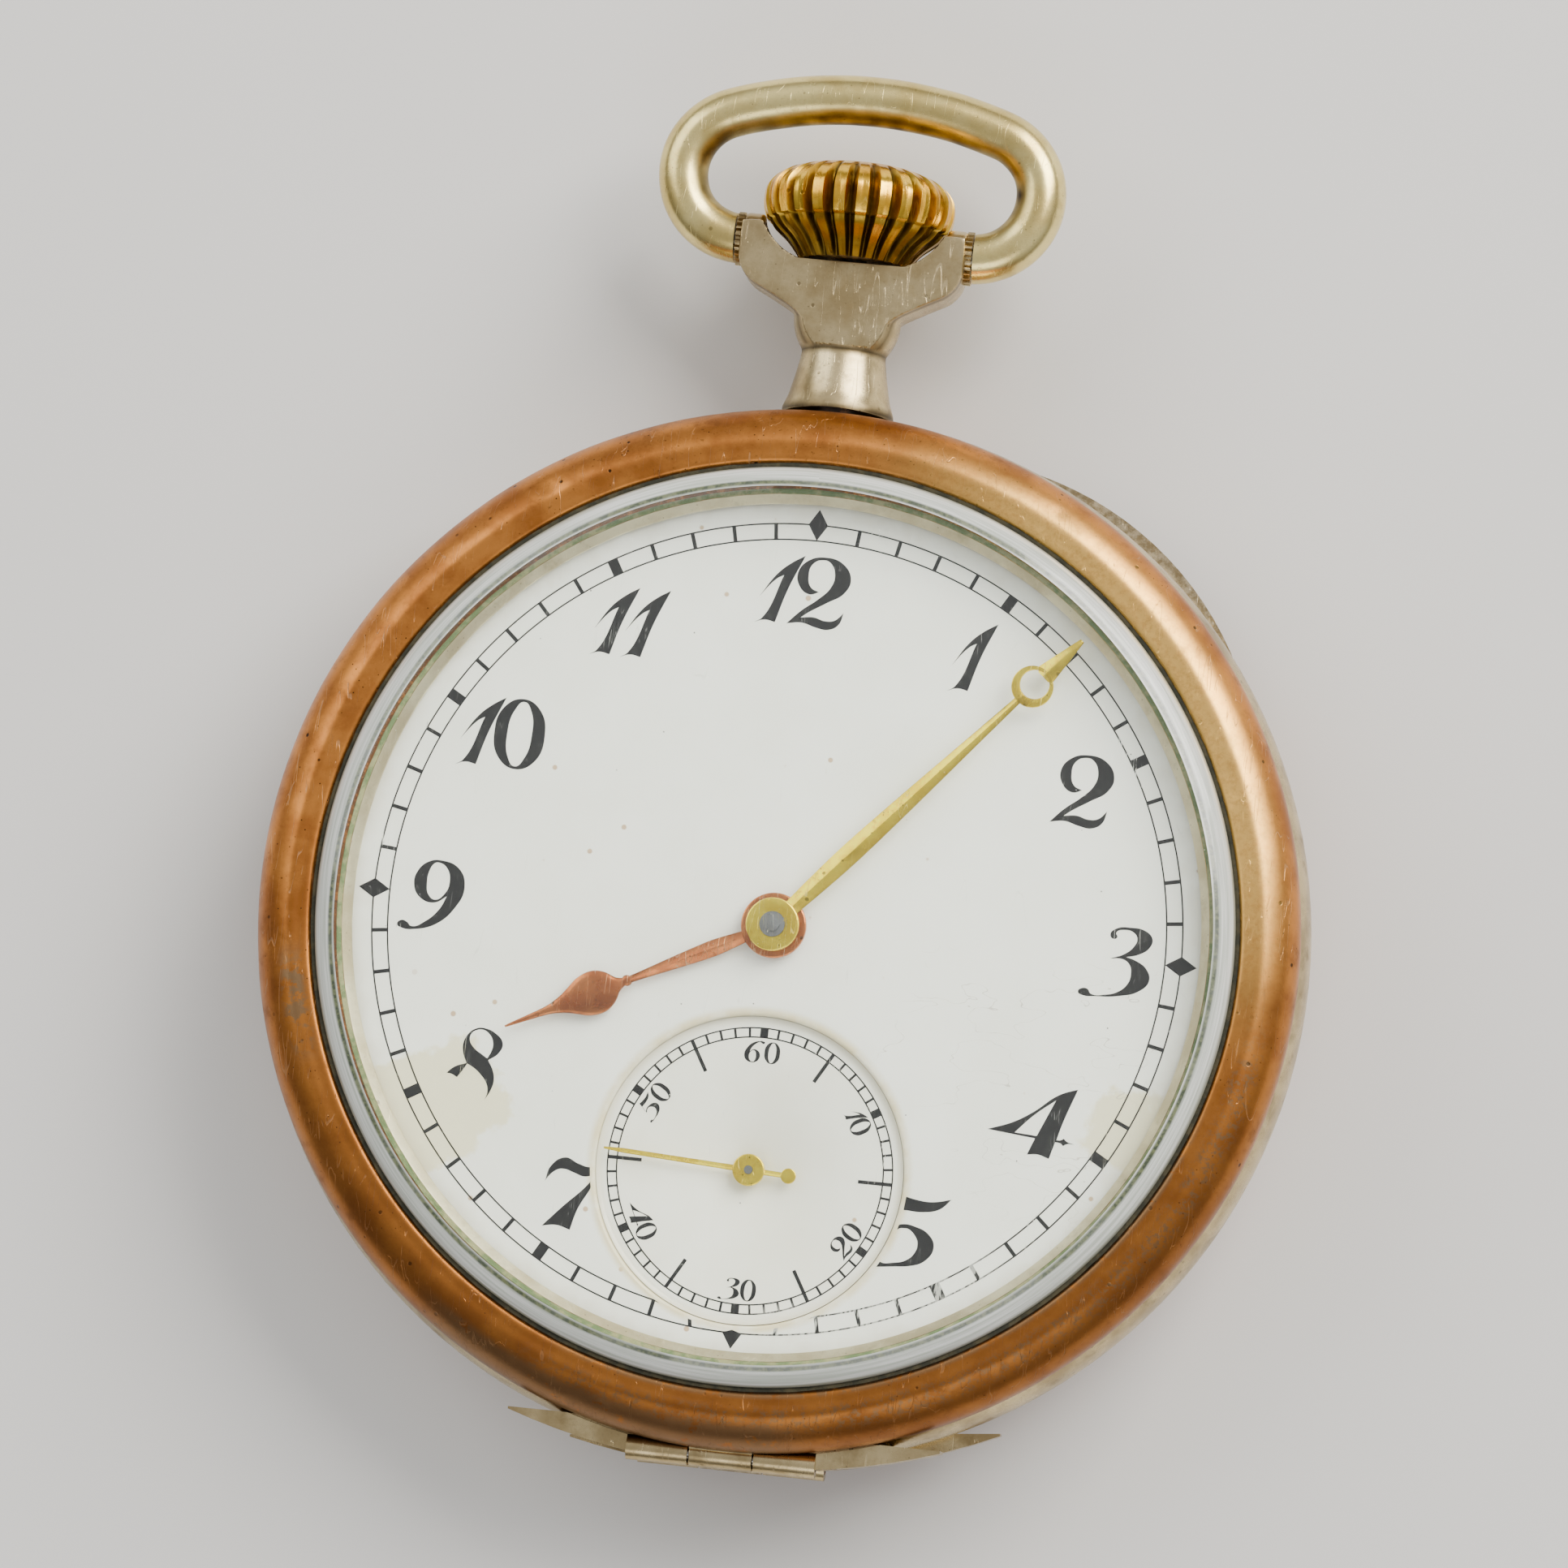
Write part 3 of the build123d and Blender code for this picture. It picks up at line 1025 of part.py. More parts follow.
# ---- Every sub-part, by the name of its node ----
def all_parts():
    return {
        "middle_case": middle_case(),
        "pendant": pendant(),
        "pendant_sleeve": pendant_sleeve(),
        "bow": bow(),
        "bow_pins": bow_pins(),
        "bow_bushings": bow_bushings(),
        "crown": crown(),
        "winding_stem": winding_stem(),
        "bezel": bezel(),
        "crystal": crystal(),
        "hinge_pins": hinge_pins(),
        "back_cover": back_cover(),
        "cuvette": cuvette(),
        "case_screws": case_screws(),
        "dial": dial(),
        "seconds_dial": seconds_dial(),
        "hour_hand": hour_hand(),
        "minute_hand": minute_hand(),
        "seconds_hand": seconds_hand(),
        "cannon_pinion": cannon_pinion(),
        "hour_wheel": hour_wheel(),
        "minute_wheel": minute_wheel(),
        "setting_wheel": setting_wheel(),
        "main_plate": main_plate(),
        "barrel_bridge": barrel_bridge(),
        "train_bridge": train_bridge(),
        "balance_cock": balance_cock(),
        "pallet_bridge": pallet_bridge(),
        "jewels": jewels(),
        "bridge_screws": bridge_screws(),
        "barrel_drum": barrel_drum(),
        "barrel_cover": barrel_cover(),
        "barrel_arbor": barrel_arbor(),
        "mainspring": mainspring(),
        "ratchet_wheel": ratchet_wheel(),
        "ratchet_screw": ratchet_screw(),
        "crown_wheel": crown_wheel(),
        "click": click(),
        "click_spring": click_spring(),
        "center_wheel": center_wheel(),
        "center_pinion": center_pinion(),
        "third_wheel": third_wheel(),
        "third_pinion": third_pinion(),
        "fourth_wheel": fourth_wheel(),
        "fourth_pinion": fourth_pinion(),
        "escape_wheel": escape_wheel(),
        "escape_pinion": escape_pinion(),
        "pallet_fork": pallet_fork(),
        "pallet_stones": pallet_stones(),
        "balance_wheel": balance_wheel(),
        "balance_screws": balance_screws(),
        "balance_staff": balance_staff(),
        "hairspring": hairspring(),
        "regulator": regulator(),
        "winding_pinion": winding_pinion(),
        "sliding_pinion": sliding_pinion(),
        "setting_lever": setting_lever(),
        "yoke": yoke(),
        "yoke_spring": yoke_spring(),
    }


os.makedirs("parts", exist_ok=True)
for name, part in all_parts().items():
    export_step(part, f"parts/{name}.step")
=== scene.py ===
import json
import math

import bmesh
import bpy
from mathutils import Matrix, Vector, noise
from mathutils.geometry import delaunay_2d_cdt


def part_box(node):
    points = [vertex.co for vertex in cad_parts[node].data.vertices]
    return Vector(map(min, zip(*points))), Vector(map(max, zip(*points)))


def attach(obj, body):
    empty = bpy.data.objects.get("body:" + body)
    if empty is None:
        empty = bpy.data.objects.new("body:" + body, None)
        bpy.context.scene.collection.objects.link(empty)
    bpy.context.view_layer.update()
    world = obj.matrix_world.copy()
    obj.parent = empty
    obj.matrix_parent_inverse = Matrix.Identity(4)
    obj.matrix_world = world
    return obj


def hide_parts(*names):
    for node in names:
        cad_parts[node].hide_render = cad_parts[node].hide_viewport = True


# Looks of the open face pocket watch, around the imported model.
# Lengths are in millimetres and become metres when a piece is finished. Heights run along +Z
# towards the dial, and dial angles are degrees clockwise from 12 o'clock.
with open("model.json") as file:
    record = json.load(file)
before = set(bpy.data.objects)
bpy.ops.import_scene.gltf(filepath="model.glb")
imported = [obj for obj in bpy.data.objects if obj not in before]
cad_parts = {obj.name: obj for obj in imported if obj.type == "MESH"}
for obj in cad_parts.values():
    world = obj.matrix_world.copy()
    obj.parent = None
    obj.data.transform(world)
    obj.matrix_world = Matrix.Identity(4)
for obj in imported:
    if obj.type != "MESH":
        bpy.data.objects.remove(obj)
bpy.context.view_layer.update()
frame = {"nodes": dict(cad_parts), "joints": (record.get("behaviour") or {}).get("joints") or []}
noise.seed_set(7)               # the vector noise is otherwise seeded from the clock

MM = 0.001
FULL_TURN = 2 * math.pi


# ---- Places and sizes read from the frame ----
def low(node):
    """Lowest corner of a CAD node."""
    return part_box(node)[0] / MM


def high(node):
    """Highest corner of a CAD node."""
    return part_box(node)[1] / MM


AXIS = {joint["name"]: Vector(joint["pos_m"]) / MM for joint in frame["joints"] if "pos_m" in joint}
SECONDS_CENTRE = AXIS["fourth_turn"].to_2d()
STEM_Z = AXIS["crown_turn"].z
BEZEL_RADIUS, BEZEL_TOP = high("bezel").x, high("bezel").z
BEZEL_LOW = AXIS["bezel_hinge"].z - 0.25                # the knuckles stand above the case's edge
CRYSTAL_RADIUS, CRYSTAL_LOW, CRYSTAL_TOP = high("crystal").x, low("crystal").z, high("crystal").z
DIAL_RADIUS, DIAL_TOP = high("dial").x, high("dial").z
DIAL_EDGE_TOP = DIAL_TOP - 0.3                          # the dial is slightly domed
DIAL_LOW = low("seconds_dial").z
SECONDS_RADIUS = 7.3
SECONDS_TOP = high("seconds_dial").z
CROWN_LOW_Y, CROWN_TOP_Y, CROWN_RADIUS = low("crown").y, high("crown").y, high("crown").x
PIVOT_Y = AXIS["bow_swing"].y


# ---- Mesh helpers ----
def clock(radius, angle, centre=(0.0, 0.0)):
    """Point at a radius and a clockwise angle from 12 o'clock."""
    turn = math.radians(angle)
    return (centre[0] + radius * math.sin(turn), centre[1] + radius * math.cos(turn))


def dial_height(x, y):
    """Height of the domed dial's surface."""
    return DIAL_TOP - (DIAL_TOP - DIAL_EDGE_TOP) * (x * x + y * y) / DIAL_RADIUS**2


def rounded(corners, steps=4):
    """Outline with its corners rounded; each corner is (u, v, size of its rounding)."""
    points = []
    for index, (u, v, size) in enumerate(corners):
        here = Vector((u, v))
        if not size:
            points.append((u, v))
            continue
        before = here + (Vector(corners[index - 1][:2]) - here).normalized() * size
        after = here + (Vector(corners[(index + 1) % len(corners)][:2]) - here).normalized() * size
        for step in range(steps + 1):
            share = step / steps
            point = before.lerp(here, share).lerp(here.lerp(after, share), share)
            points.append(tuple(point))
    return points


def arc(centre, radius, start, end, steps):
    """Points along an arc, angles in degrees counter-clockwise from the first axis."""
    angles = [math.radians(start + (end - start) * step / steps) for step in range(steps + 1)]
    return [(centre[0] + radius * math.cos(a), centre[1] + radius * math.sin(a)) for a in angles]


def through(points, steps=6):
    """Smooth open line through points, by Catmull-Rom."""
    line = [Vector(p) for p in points]
    line = [2 * line[0] - line[1], *line, 2 * line[-1] - line[-2]]
    found = []
    for p0, p1, p2, p3 in zip(line, line[1:], line[2:], line[3:]):
        for step in range(steps):
            t = step / steps
            spot = 2 * p1 + (p2 - p0) * t + (2 * p0 - 5 * p1 + 4 * p2 - p3) * t * t
            found.append(tuple((spot + (3 * p1 - p0 - 3 * p2 + p3) * t**3) / 2))
    return found + [tuple(line[-2])]


def skin(rings, closed_ring=True, closed_rings=False):
    """Faces between rings of points that all have the same count."""
    count, faces = len(rings[0]), []
    for near in range(len(rings) if closed_rings else len(rings) - 1):
        far = (near + 1) % len(rings)
        for spot in range(count if closed_ring else count - 1):
            beside = (spot + 1) % count
            faces.append((near * count + spot, near * count + beside,
                          far * count + beside, far * count + spot))
    return [point for ring in rings for point in ring], faces


def lathe(profile, segments=256, centre=(0.0, 0.0)):
    """Surface of revolution about a vertical axis, from a closed (radius, height) profile."""
    rings = []
    for step in range(segments):
        turn = FULL_TURN * step / segments
        rings.append([(centre[0] + r * math.cos(turn), centre[1] + r * math.sin(turn), z)
                      for r, z in profile])
    return skin(rings, closed_rings=True)


def along_y(shape, z=STEM_Z):
    """The shape, turned about Z, laid with its axis along +Y at a height."""
    points, faces = shape
    return [(x, up, z - y) for x, y, up in points], faces


def along_x(shape, y, z):
    """The shape, turned about Z, laid with its axis along +X at a place."""
    points, faces = shape
    return [(up, y + x, z + across) for x, across, up in points], faces


def joined(*shapes):
    """Several (points, faces) shapes as one."""
    points, faces = [], []
    for more_points, more_faces in shapes:
        faces += [tuple(spot + len(points) for spot in face) for face in more_faces]
        points += more_points
    return points, faces


def prism(outline, bottom, top):
    """Solid between two heights from a flat outline."""
    count = len(outline)
    points = [(x, y, bottom) for x, y in outline] + [(x, y, top) for x, y in outline]
    sides = [(spot, (spot + 1) % count, (spot + 1) % count + count, spot + count)
             for spot in range(count)]
    return points, sides + [tuple(range(count))[::-1], tuple(range(count, 2 * count))]


def temporary(shape):
    """Scratch object in millimetres, for modifiers."""
    mesh = bpy.data.meshes.new("scratch")
    mesh.from_pydata(shape[0], [], shape[1])
    tidy(mesh)
    scratch = bpy.data.objects.new("scratch", mesh)
    bpy.context.scene.collection.objects.link(scratch)
    return scratch


def baked(scratch):
    """The scratch object's points and faces with its modifiers applied; the object is removed."""
    bpy.context.view_layer.update()
    solved = scratch.evaluated_get(bpy.context.evaluated_depsgraph_get())
    mesh = bpy.data.meshes.new_from_object(solved)
    shape = [tuple(v.co) for v in mesh.vertices], [tuple(p.vertices) for p in mesh.polygons]
    bpy.data.objects.remove(scratch)
    return shape


def tidy(mesh):
    """Weld doubled points, drop slivers and turn the faces outwards."""
    work = bmesh.new()
    work.from_mesh(mesh)
    bmesh.ops.remove_doubles(work, verts=work.verts, dist=1e-4)
    bmesh.ops.dissolve_degenerate(work, edges=work.edges, dist=1e-4)
    bmesh.ops.recalc_face_normals(work, faces=work.faces)
    bmesh.ops.delete(work, geom=[e for e in work.edges if not e.link_faces], context="EDGES")
    bmesh.ops.delete(work, geom=[v for v in work.verts if not v.link_faces], context="VERTS")
    work.to_mesh(mesh)
    work.free()


def piece(name, shape, material, body, replaces=(), sharp=32, paint=None):
    """Finish a piece: its mesh, material, smooth shading, body and the nodes it stands for.

    paint is {attribute name: function of (x, y, z) in millimetres}, for the material to read."""
    mesh = bpy.data.meshes.new(name)
    mesh.from_pydata([tuple(point) for point in shape[0]], [], shape[1])
    tidy(mesh)
    mesh.validate()
    for label, value_at in (paint or {}).items():
        layer = mesh.attributes.new(label, "FLOAT", "POINT")
        layer.data.foreach_set("value", [value_at(*v.co) for v in mesh.vertices])
    mesh.transform(Matrix.Scale(MM, 4))
    mesh.shade_smooth()
    mesh.set_sharp_from_angle(angle=math.radians(sharp))
    mesh.materials.append(material)
    made = bpy.data.objects.new(name, mesh)
    bpy.context.scene.collection.objects.link(made)
    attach(made, body)
    if replaces:
        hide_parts(*replaces)
    return made


# ---- Materials ----
def srgb(red, green, blue):
    """Scene colour from 0-255 screen values."""
    def linear(value):
        value /= 255
        return value / 12.92 if value <= 0.04045 else ((value + 0.055) / 1.055)**2.4
    return (linear(red), linear(green), linear(blue), 1.0)


class Paint:
    """A material's node tree, with short calls for what the finishes share. Scales are per mm."""

    def __init__(self, name, **constants):
        self.material = bpy.data.materials.new(name)
        self.material.use_nodes = True
        self.tree = self.material.node_tree
        self.shader = self.tree.nodes["Principled BSDF"]
        for socket, value in constants.items():
            self.shader.inputs[socket.replace("_", " ")].default_value = value
        place = self.add("TexCoord").outputs["Object"]
        scaled = self.add("VectorMath", {0: place, "Scale": 1 / MM}, operation="SCALE")
        self.place = scaled.outputs[0]

    def add(self, kind, inputs=None, **settings):
        node = self.tree.nodes.new("ShaderNode" + kind)
        for key, value in settings.items():
            setattr(node, key, value)
        for key, value in (inputs or {}).items():
            if isinstance(value, bpy.types.NodeSocket):
                self.tree.links.new(value, node.inputs[key])
            else:
                node.inputs[key].default_value = value
        return node

    def math(self, operation, first, second=0.0):
        return self.add("Math", {0: first, 1: second}, operation=operation).outputs[0]

    def times(self, first, second):
        return self.math("MULTIPLY", first, second)

    def ramp(self, value, start, end, to_start=0.0, to_end=1.0):
        """Smooth step of a value from one range to another."""
        node = self.add("MapRange", {"Value": value, "From Min": start, "From Max": end,
                                     "To Min": to_start, "To Max": to_end},
                        interpolation_type="SMOOTHSTEP")
        return node.outputs[0]

    def window(self, value, start, end, soft):
        """1 between two values, fading out over a soft width."""
        rise = self.ramp(value, start - soft, start)
        return self.times(rise, self.ramp(value, end, end + soft, 1.0, 0.0))

    def stretched(self, scale, turn=0.0, shift=0.0):
        """The place in mm, turned about Z, shifted, and scaled by (x, y, z)."""
        return self.add("Mapping", {"Vector": self.place, "Location": (shift, shift, shift),
                                    "Rotation": (0.0, 0.0, math.radians(turn)),
                                    "Scale": scale}).outputs[0]

    def noise(self, scale, detail=4.0, rough=0.55, place=None):
        return self.add("TexNoise", {"Vector": place or self.place, "Scale": scale,
                                     "Detail": detail, "Roughness": rough}).outputs[0]

    def specks(self, scale, size, keep=0.5, place=None):
        """Small round marks: cells of a Voronoi pattern, of which a share is kept."""
        cells = self.add("TexVoronoi", {"Vector": place or self.place, "Scale": scale})
        dots = self.ramp(cells.outputs["Distance"], size, size * 0.6)
        chance = self.add("SeparateColor", {0: cells.outputs["Color"]}).outputs[0]
        return self.times(dots, self.ramp(chance, 1 - keep, 1 - keep + 0.05))

    def scratches(self, density, turn, width=0.006, shift=0.0, share=0.5):
        """Fine straight marks: the contours of a stretched noise, broken up by another."""
        lines = self.noise(density, 1.0, 0.4, self.stretched((1.0, 0.07, 0.4), turn, shift))
        near = self.math("ABSOLUTE", self.math("SUBTRACT", lines, 0.5))
        marks = self.ramp(near, width, width * 0.3)
        gaps = self.noise(density * 0.45, 2.0, 0.5, self.stretched((1, 1, 1), turn, shift + 3.7))
        return self.times(marks, self.ramp(gaps, 1 - share, 1 - share + 0.06))

    def angle(self, centre=(0.0, 0.0)):
        """Clockwise angle from 12 o'clock in degrees, 0 to 360."""
        x, y, _ = self.split(centre)
        turn = self.times(self.math("ARCTAN2", x, y), 360 / FULL_TURN)
        return self.math("FLOORED_MODULO", turn, 360.0)

    def radius(self, centre=(0.0, 0.0)):
        x, y, _ = self.split(centre)
        return self.add("VectorMath", {0: self.add("CombineXYZ", {0: x, 1: y}).outputs[0]},
                        operation="LENGTH").outputs["Value"]

    def split(self, centre=(0.0, 0.0)):
        """x, y and z from a centre, in mm."""
        moved = self.add("VectorMath", {0: self.place, 1: (*centre, 0.0)}, operation="SUBTRACT")
        return self.add("SeparateXYZ", {0: moved.outputs[0]}).outputs

    def attribute(self, name):
        return self.add("Attribute", attribute_name=name).outputs["Fac"]

    def mix(self, share, first, second):
        """Colour that goes from the first to the second."""
        node = self.add("Mix", data_type="RGBA")
        for index, value in ((0, share), (6, first), (7, second)):
            if isinstance(value, bpy.types.NodeSocket):
                self.tree.links.new(value, node.inputs[index])
            else:
                node.inputs[index].default_value = value
        return node.outputs[2]

    def total(self, *values):
        """Sum of masks, at most 1."""
        result = values[0]
        for value in values[1:]:
            result = self.add("Math", {0: result, 1: value}, operation="ADD",
                              use_clamp=True).outputs[0]
        return result

    def colour(self):
        """What the base colour is so far."""
        return self.shader.inputs["Base Color"].links[0].from_socket

    def set(self, socket, value):
        self.tree.links.new(value, self.shader.inputs[socket])

    def bump(self, height, depth, over=None):
        """Relief of a height map, depth in mm, on top of another bump's normal."""
        inputs = {"Height": height, "Distance": depth * MM, "Strength": 1.0}
        if over:
            inputs["Normal"] = over
        node = self.add("Bump", inputs)
        self.set("Normal", node.outputs[0])
        return node.outputs[0]


def metal(name, light, dark, tarnish, rough=(0.25, 0.42), scale=0.35, soil=0.45, marks=0.6,
          grime=None, grain=0.0, tarnish_share=0.4, shine=0.22):
    """Worn metal: two tones, tarnish in clouds, specks, scratches both ways and a faint relief.

    grime names a mesh attribute whose parts near 1 are darkened, for grime and for painted shade;
    grain adds a brushed relief;
    shine is how bright the scratches are."""
    paint = Paint(name, Metallic=1.0)
    clouds = paint.noise(scale, 5.0, 0.6)
    colour = paint.mix(paint.ramp(clouds, 0.35, 0.65), srgb(*light), srgb(*dark))
    patches = paint.noise(scale * 2.3, 6.0, 0.65, paint.stretched((1, 1, 1), 20.0, 11.0))
    aged = paint.ramp(patches, 0.52, 0.72, 0.0, tarnish_share)
    colour = paint.mix(aged, colour, srgb(*tarnish))
    fine = paint.noise(6.0, 3.0, 0.6)
    colour = paint.mix(paint.ramp(fine, 0.55, 0.8, 0.0, 0.25), colour, srgb(*tarnish))
    spots = paint.specks(1.3, 0.16, 0.22)
    pits = paint.specks(4.5, 0.2, 0.14)
    colour = paint.mix(paint.times(paint.total(spots, pits), soil), colour,
                       srgb(34, 24, 16))
    hairs = paint.total(paint.scratches(1.6, 24.0), paint.scratches(2.3, -58.0, shift=5.0),
                        paint.scratches(1.1, 81.0, shift=9.0, share=0.42))
    colour = paint.mix(paint.times(hairs, shine), colour, srgb(250, 236, 200))
    # The named attribute darkens the colour: partly grime, partly painted shade.
    if grime:
        shade = paint.attribute(grime)
        colour = paint.mix(paint.times(shade, 0.9), colour, srgb(38, 26, 15))
        aged = paint.total(aged, shade)
    paint.set("Base Color", colour)
    worn = paint.ramp(paint.total(paint.times(clouds, 0.6), aged), 0.1, 0.9, *rough)
    paint.set("Roughness", paint.math("ADD", worn, paint.times(hairs, shine / 2)))
    relief = paint.math("SUBTRACT", paint.times(paint.noise(2.2, 4.0, 0.6), 0.5),
                        paint.times(paint.total(hairs, spots), marks))
    normal = paint.bump(relief, 0.012)
    if grain:
        brushed = paint.noise(3.0, 3.0, 0.6, paint.stretched((1.0, 14.0, 1.0), 12.0))
        paint.bump(brushed, grain, normal)
    return paint


WORN_BASE = (136, 120, 92)      # base metal where the rolled gold has worn through


def bezel_gold():
    """Rolled rose gold, worn through along the lower edge and in a speckled band at 3 to 6, with a
    painted highlight near the inner edge at 1 to 2 and painted shade over the lower side.
    """
    paint = metal("rose_gold_bezel", (200, 130, 62), (160, 98, 46), (96, 60, 30),
                  rough=(0.34, 0.48), soil=0.9, marks=0.8, shine=0.1)
    gold = paint.colour()
    angle, radius, cloud = paint.angle(), paint.radius(), paint.noise(0.9, 6.0, 0.7)
    fine = paint.noise(3.5, 5.0, 0.75)

    def rubbed(start, end, inner, outer, threshold, soft=8.0, edge=0.5, grain=cloud):
        """Mask of a worn stretch between two angles and two radii."""
        where = paint.times(paint.window(angle, start, end, soft),
                           paint.window(radius, inner, outer, edge))
        broken = paint.ramp(grain, threshold, threshold + 0.08)
        return paint.times(where, broken)

    lower_edge = rubbed(176.0, 212.0, 23.9, 25.5, 0.36)
    speckled = rubbed(106.0, 196.0, 23.1, 23.7, 0.5, 12.0, 0.5, fine)
    inner_lip = rubbed(118.0, 192.0, 21.6, 22.25, 0.4, 14.0, 0.2)
    left_spot = rubbed(252.0, 258.0, 22.7, 23.3, 0.45, 5.0)
    worn = paint.total(lower_edge, speckled, inner_lip, left_spot)
    colour = paint.mix(paint.times(worn, 0.8), gold, srgb(*WORN_BASE))
    # Painted highlight: golden, brightest towards the inner edge, between 1 and 2 o'clock.
    painted_highlight = paint.times(paint.window(angle, 31.0, 74.0, 30.0),
                      paint.ramp(radius, 24.8, 22.6))
    painted_highlight_strength = paint.ramp(fine, 0.3, 0.6, 0.6, 0.95)
    colour = paint.mix(paint.times(painted_highlight, painted_highlight_strength), colour, srgb(250, 202, 112))
    # Painted shade: the lower side of the bezel, from 4 to 8 o'clock, is darkened.
    painted_lower_shade = paint.window(angle, 130.0, 225.0, 55.0)
    colour = paint.mix(paint.times(painted_lower_shade, 0.6), colour, srgb(112, 70, 34))
    from_eleven = paint.math("FLOORED_MODULO", paint.math("ADD", angle, 40.0), 360.0)
    stains = paint.times(paint.window(from_eleven, 8.0, 60.0, 14.0), paint.ramp(fine, 0.6, 0.68))
    colour = paint.mix(paint.times(stains, 0.55), colour, srgb(66, 48, 26))
    edge_soil = paint.times(paint.ramp(radius, 22.25, 22.0), paint.ramp(fine, 0.35, 0.5))
    colour = paint.mix(paint.times(edge_soil, 0.6), colour, srgb(44, 34, 20))
    paint.set("Base Color", colour)
    return paint.material


def enamel(name, base, shade):
    """Glossy vitreous enamel with a little mottling, brown specks and hair scratches."""
    paint = Paint(name, Roughness=0.16, Specular_IOR_Level=0.5, Coat_Weight=0.25,
                  Coat_Roughness=0.08, Subsurface_Weight=0.04, Subsurface_Scale=0.0006)
    paint.shader.inputs["Subsurface Radius"].default_value = (1.0, 0.9, 0.75)
    tone = paint.ramp(paint.noise(0.16, 4.0, 0.6), 0.35, 0.7)
    colour = paint.mix(tone, srgb(*base), srgb(*shade))
    fleck = paint.specks(0.55, 0.09, 0.3)
    colour = paint.mix(paint.times(fleck, 0.75), colour, srgb(176, 132, 70))
    dots = paint.specks(0.8, 0.035, 0.35, paint.stretched((1, 1, 1), 40.0, 4.0))
    colour = paint.mix(dots, colour, srgb(52, 44, 38))
    hairs = paint.total(paint.scratches(0.9, 30.0, 0.003, share=0.4),
                        paint.scratches(1.2, -35.0, 0.003, 6.0, 0.4))
    colour = paint.mix(paint.times(hairs, 0.18), colour, srgb(168, 164, 156))
    relief = paint.math("SUBTRACT", paint.noise(0.5, 2.0, 0.5), paint.times(hairs, 0.3))
    paint.bump(relief, 0.006)
    return paint, colour


def dial_enamel():
    """White dial: cream repairs beside 8 and 4, hairline cracks and a stained sunk edge."""
    paint, colour = enamel("dial_enamel", (250, 250, 246), (244, 244, 239))
    angle, radius, cloud = paint.angle(), paint.radius(), paint.noise(0.7, 4.0, 0.6)
    wobble = paint.times(paint.math("SUBTRACT", cloud, 0.5), 3.0)
    reach = paint.math("ADD", radius, wobble)
    sweep = paint.math("ADD", angle, paint.times(wobble, 2.5))
    lower_left = paint.times(paint.window(sweep, 229.0, 244.0, 1.2),
                            paint.window(reach, 15.4, 22.0, 0.5))
    right = paint.times(paint.window(sweep, 110.0, 119.0, 1.5),
                       paint.window(reach, 17.8, 22.0, 0.5))
    colour = paint.mix(paint.times(paint.total(lower_left, right), 0.85), colour,
                       srgb(232, 224, 190))
    colour = paint.mix(paint.ramp(paint.math("ADD", radius, wobble), 19.2, 20.6, 0.0, 0.35),
                       colour, srgb(214, 206, 186))
    sunk = paint.radius(SECONDS_CENTRE)
    stain = paint.times(paint.ramp(sunk, SECONDS_RADIUS + 0.55, SECONDS_RADIUS + 0.15),
                       paint.ramp(cloud, 0.3, 0.6, 0.45, 0.95))
    colour = paint.mix(stain, colour, srgb(224, 210, 172))
    ray = paint.noise(0.22, 3.0, 0.55, paint.stretched((1.0, 2.2, 1.0), -28.0, 2.0))
    crack = paint.ramp(paint.math("ABSOLUTE", paint.math("SUBTRACT", ray, 0.5)), 0.0022, 0.0008)
    where = paint.times(paint.window(angle, 96.0, 132.0, 8.0),
                       paint.window(radius, 8.0, 19.0, 1.5))
    colour = paint.mix(paint.times(paint.times(crack, where), 0.5), colour,
                       srgb(150, 138, 118))
    paint.set("Base Color", colour)
    return paint.material


def seconds_enamel():
    """The sunk seconds dial is a little creamier than the main dial."""
    paint, colour = enamel("seconds_enamel", (248, 247, 240), (240, 237, 226))
    sunk = paint.radius(SECONDS_CENTRE)
    rim = paint.ramp(sunk, SECONDS_RADIUS - 0.5, SECONDS_RADIUS, 0.0, 0.55)
    colour = paint.mix(rim, colour, srgb(206, 194, 164))
    paint.set("Base Color", colour)
    return paint.material


def ink():
    """Fired black print, thin in places and crossed by fine light scratches."""
    paint = Paint("dial_print", Roughness=0.5, Specular_IOR_Level=0.2)
    hairs = paint.total(*(paint.scratches(3.2, turn, 0.005, turn * 0.1, 0.45)
                          for turn in (25.0, -40.0, 70.0)))
    dust = paint.specks(7.0, 0.16, 0.1)
    angle, radius = paint.angle(), paint.radius()
    rubbed = paint.times(paint.window(angle, 146.0, 172.0, 8.0),
                        paint.ramp(radius, 17.6, 18.4))
    lost = paint.times(rubbed, paint.ramp(paint.noise(
        7.0, 3.0, 0.6, paint.stretched((1.0, 0.25, 1.0), 35.0)), 0.44, 0.56))
    black = paint.mix(paint.noise(0.8, 3.0), srgb(8, 8, 10), srgb(18, 18, 20))
    worn = paint.total(paint.times(hairs, 0.2), paint.times(dust, 0.35),
                       paint.times(lost, 0.6))
    paint.set("Base Color", paint.mix(worn, black, srgb(226, 226, 222)))
    return paint.material


def hand_metal(name, light, dark, tarnish, ridge_shade=0.0):
    """Finely brushed hand, a little tarnished."""
    paint = metal(name, light, dark, tarnish, rough=(0.22, 0.36), scale=0.8, soil=0.7, marks=0.4)
    # ridge_shade paints shade in the tarnish colour where the piece's facet attribute is near 1.
    if ridge_shade:
        gold = paint.colour()
        shade = paint.times(paint.attribute("facet"), ridge_shade)
        paint.set("Base Color", paint.mix(shade, gold, srgb(*tarnish)))
    return paint.material


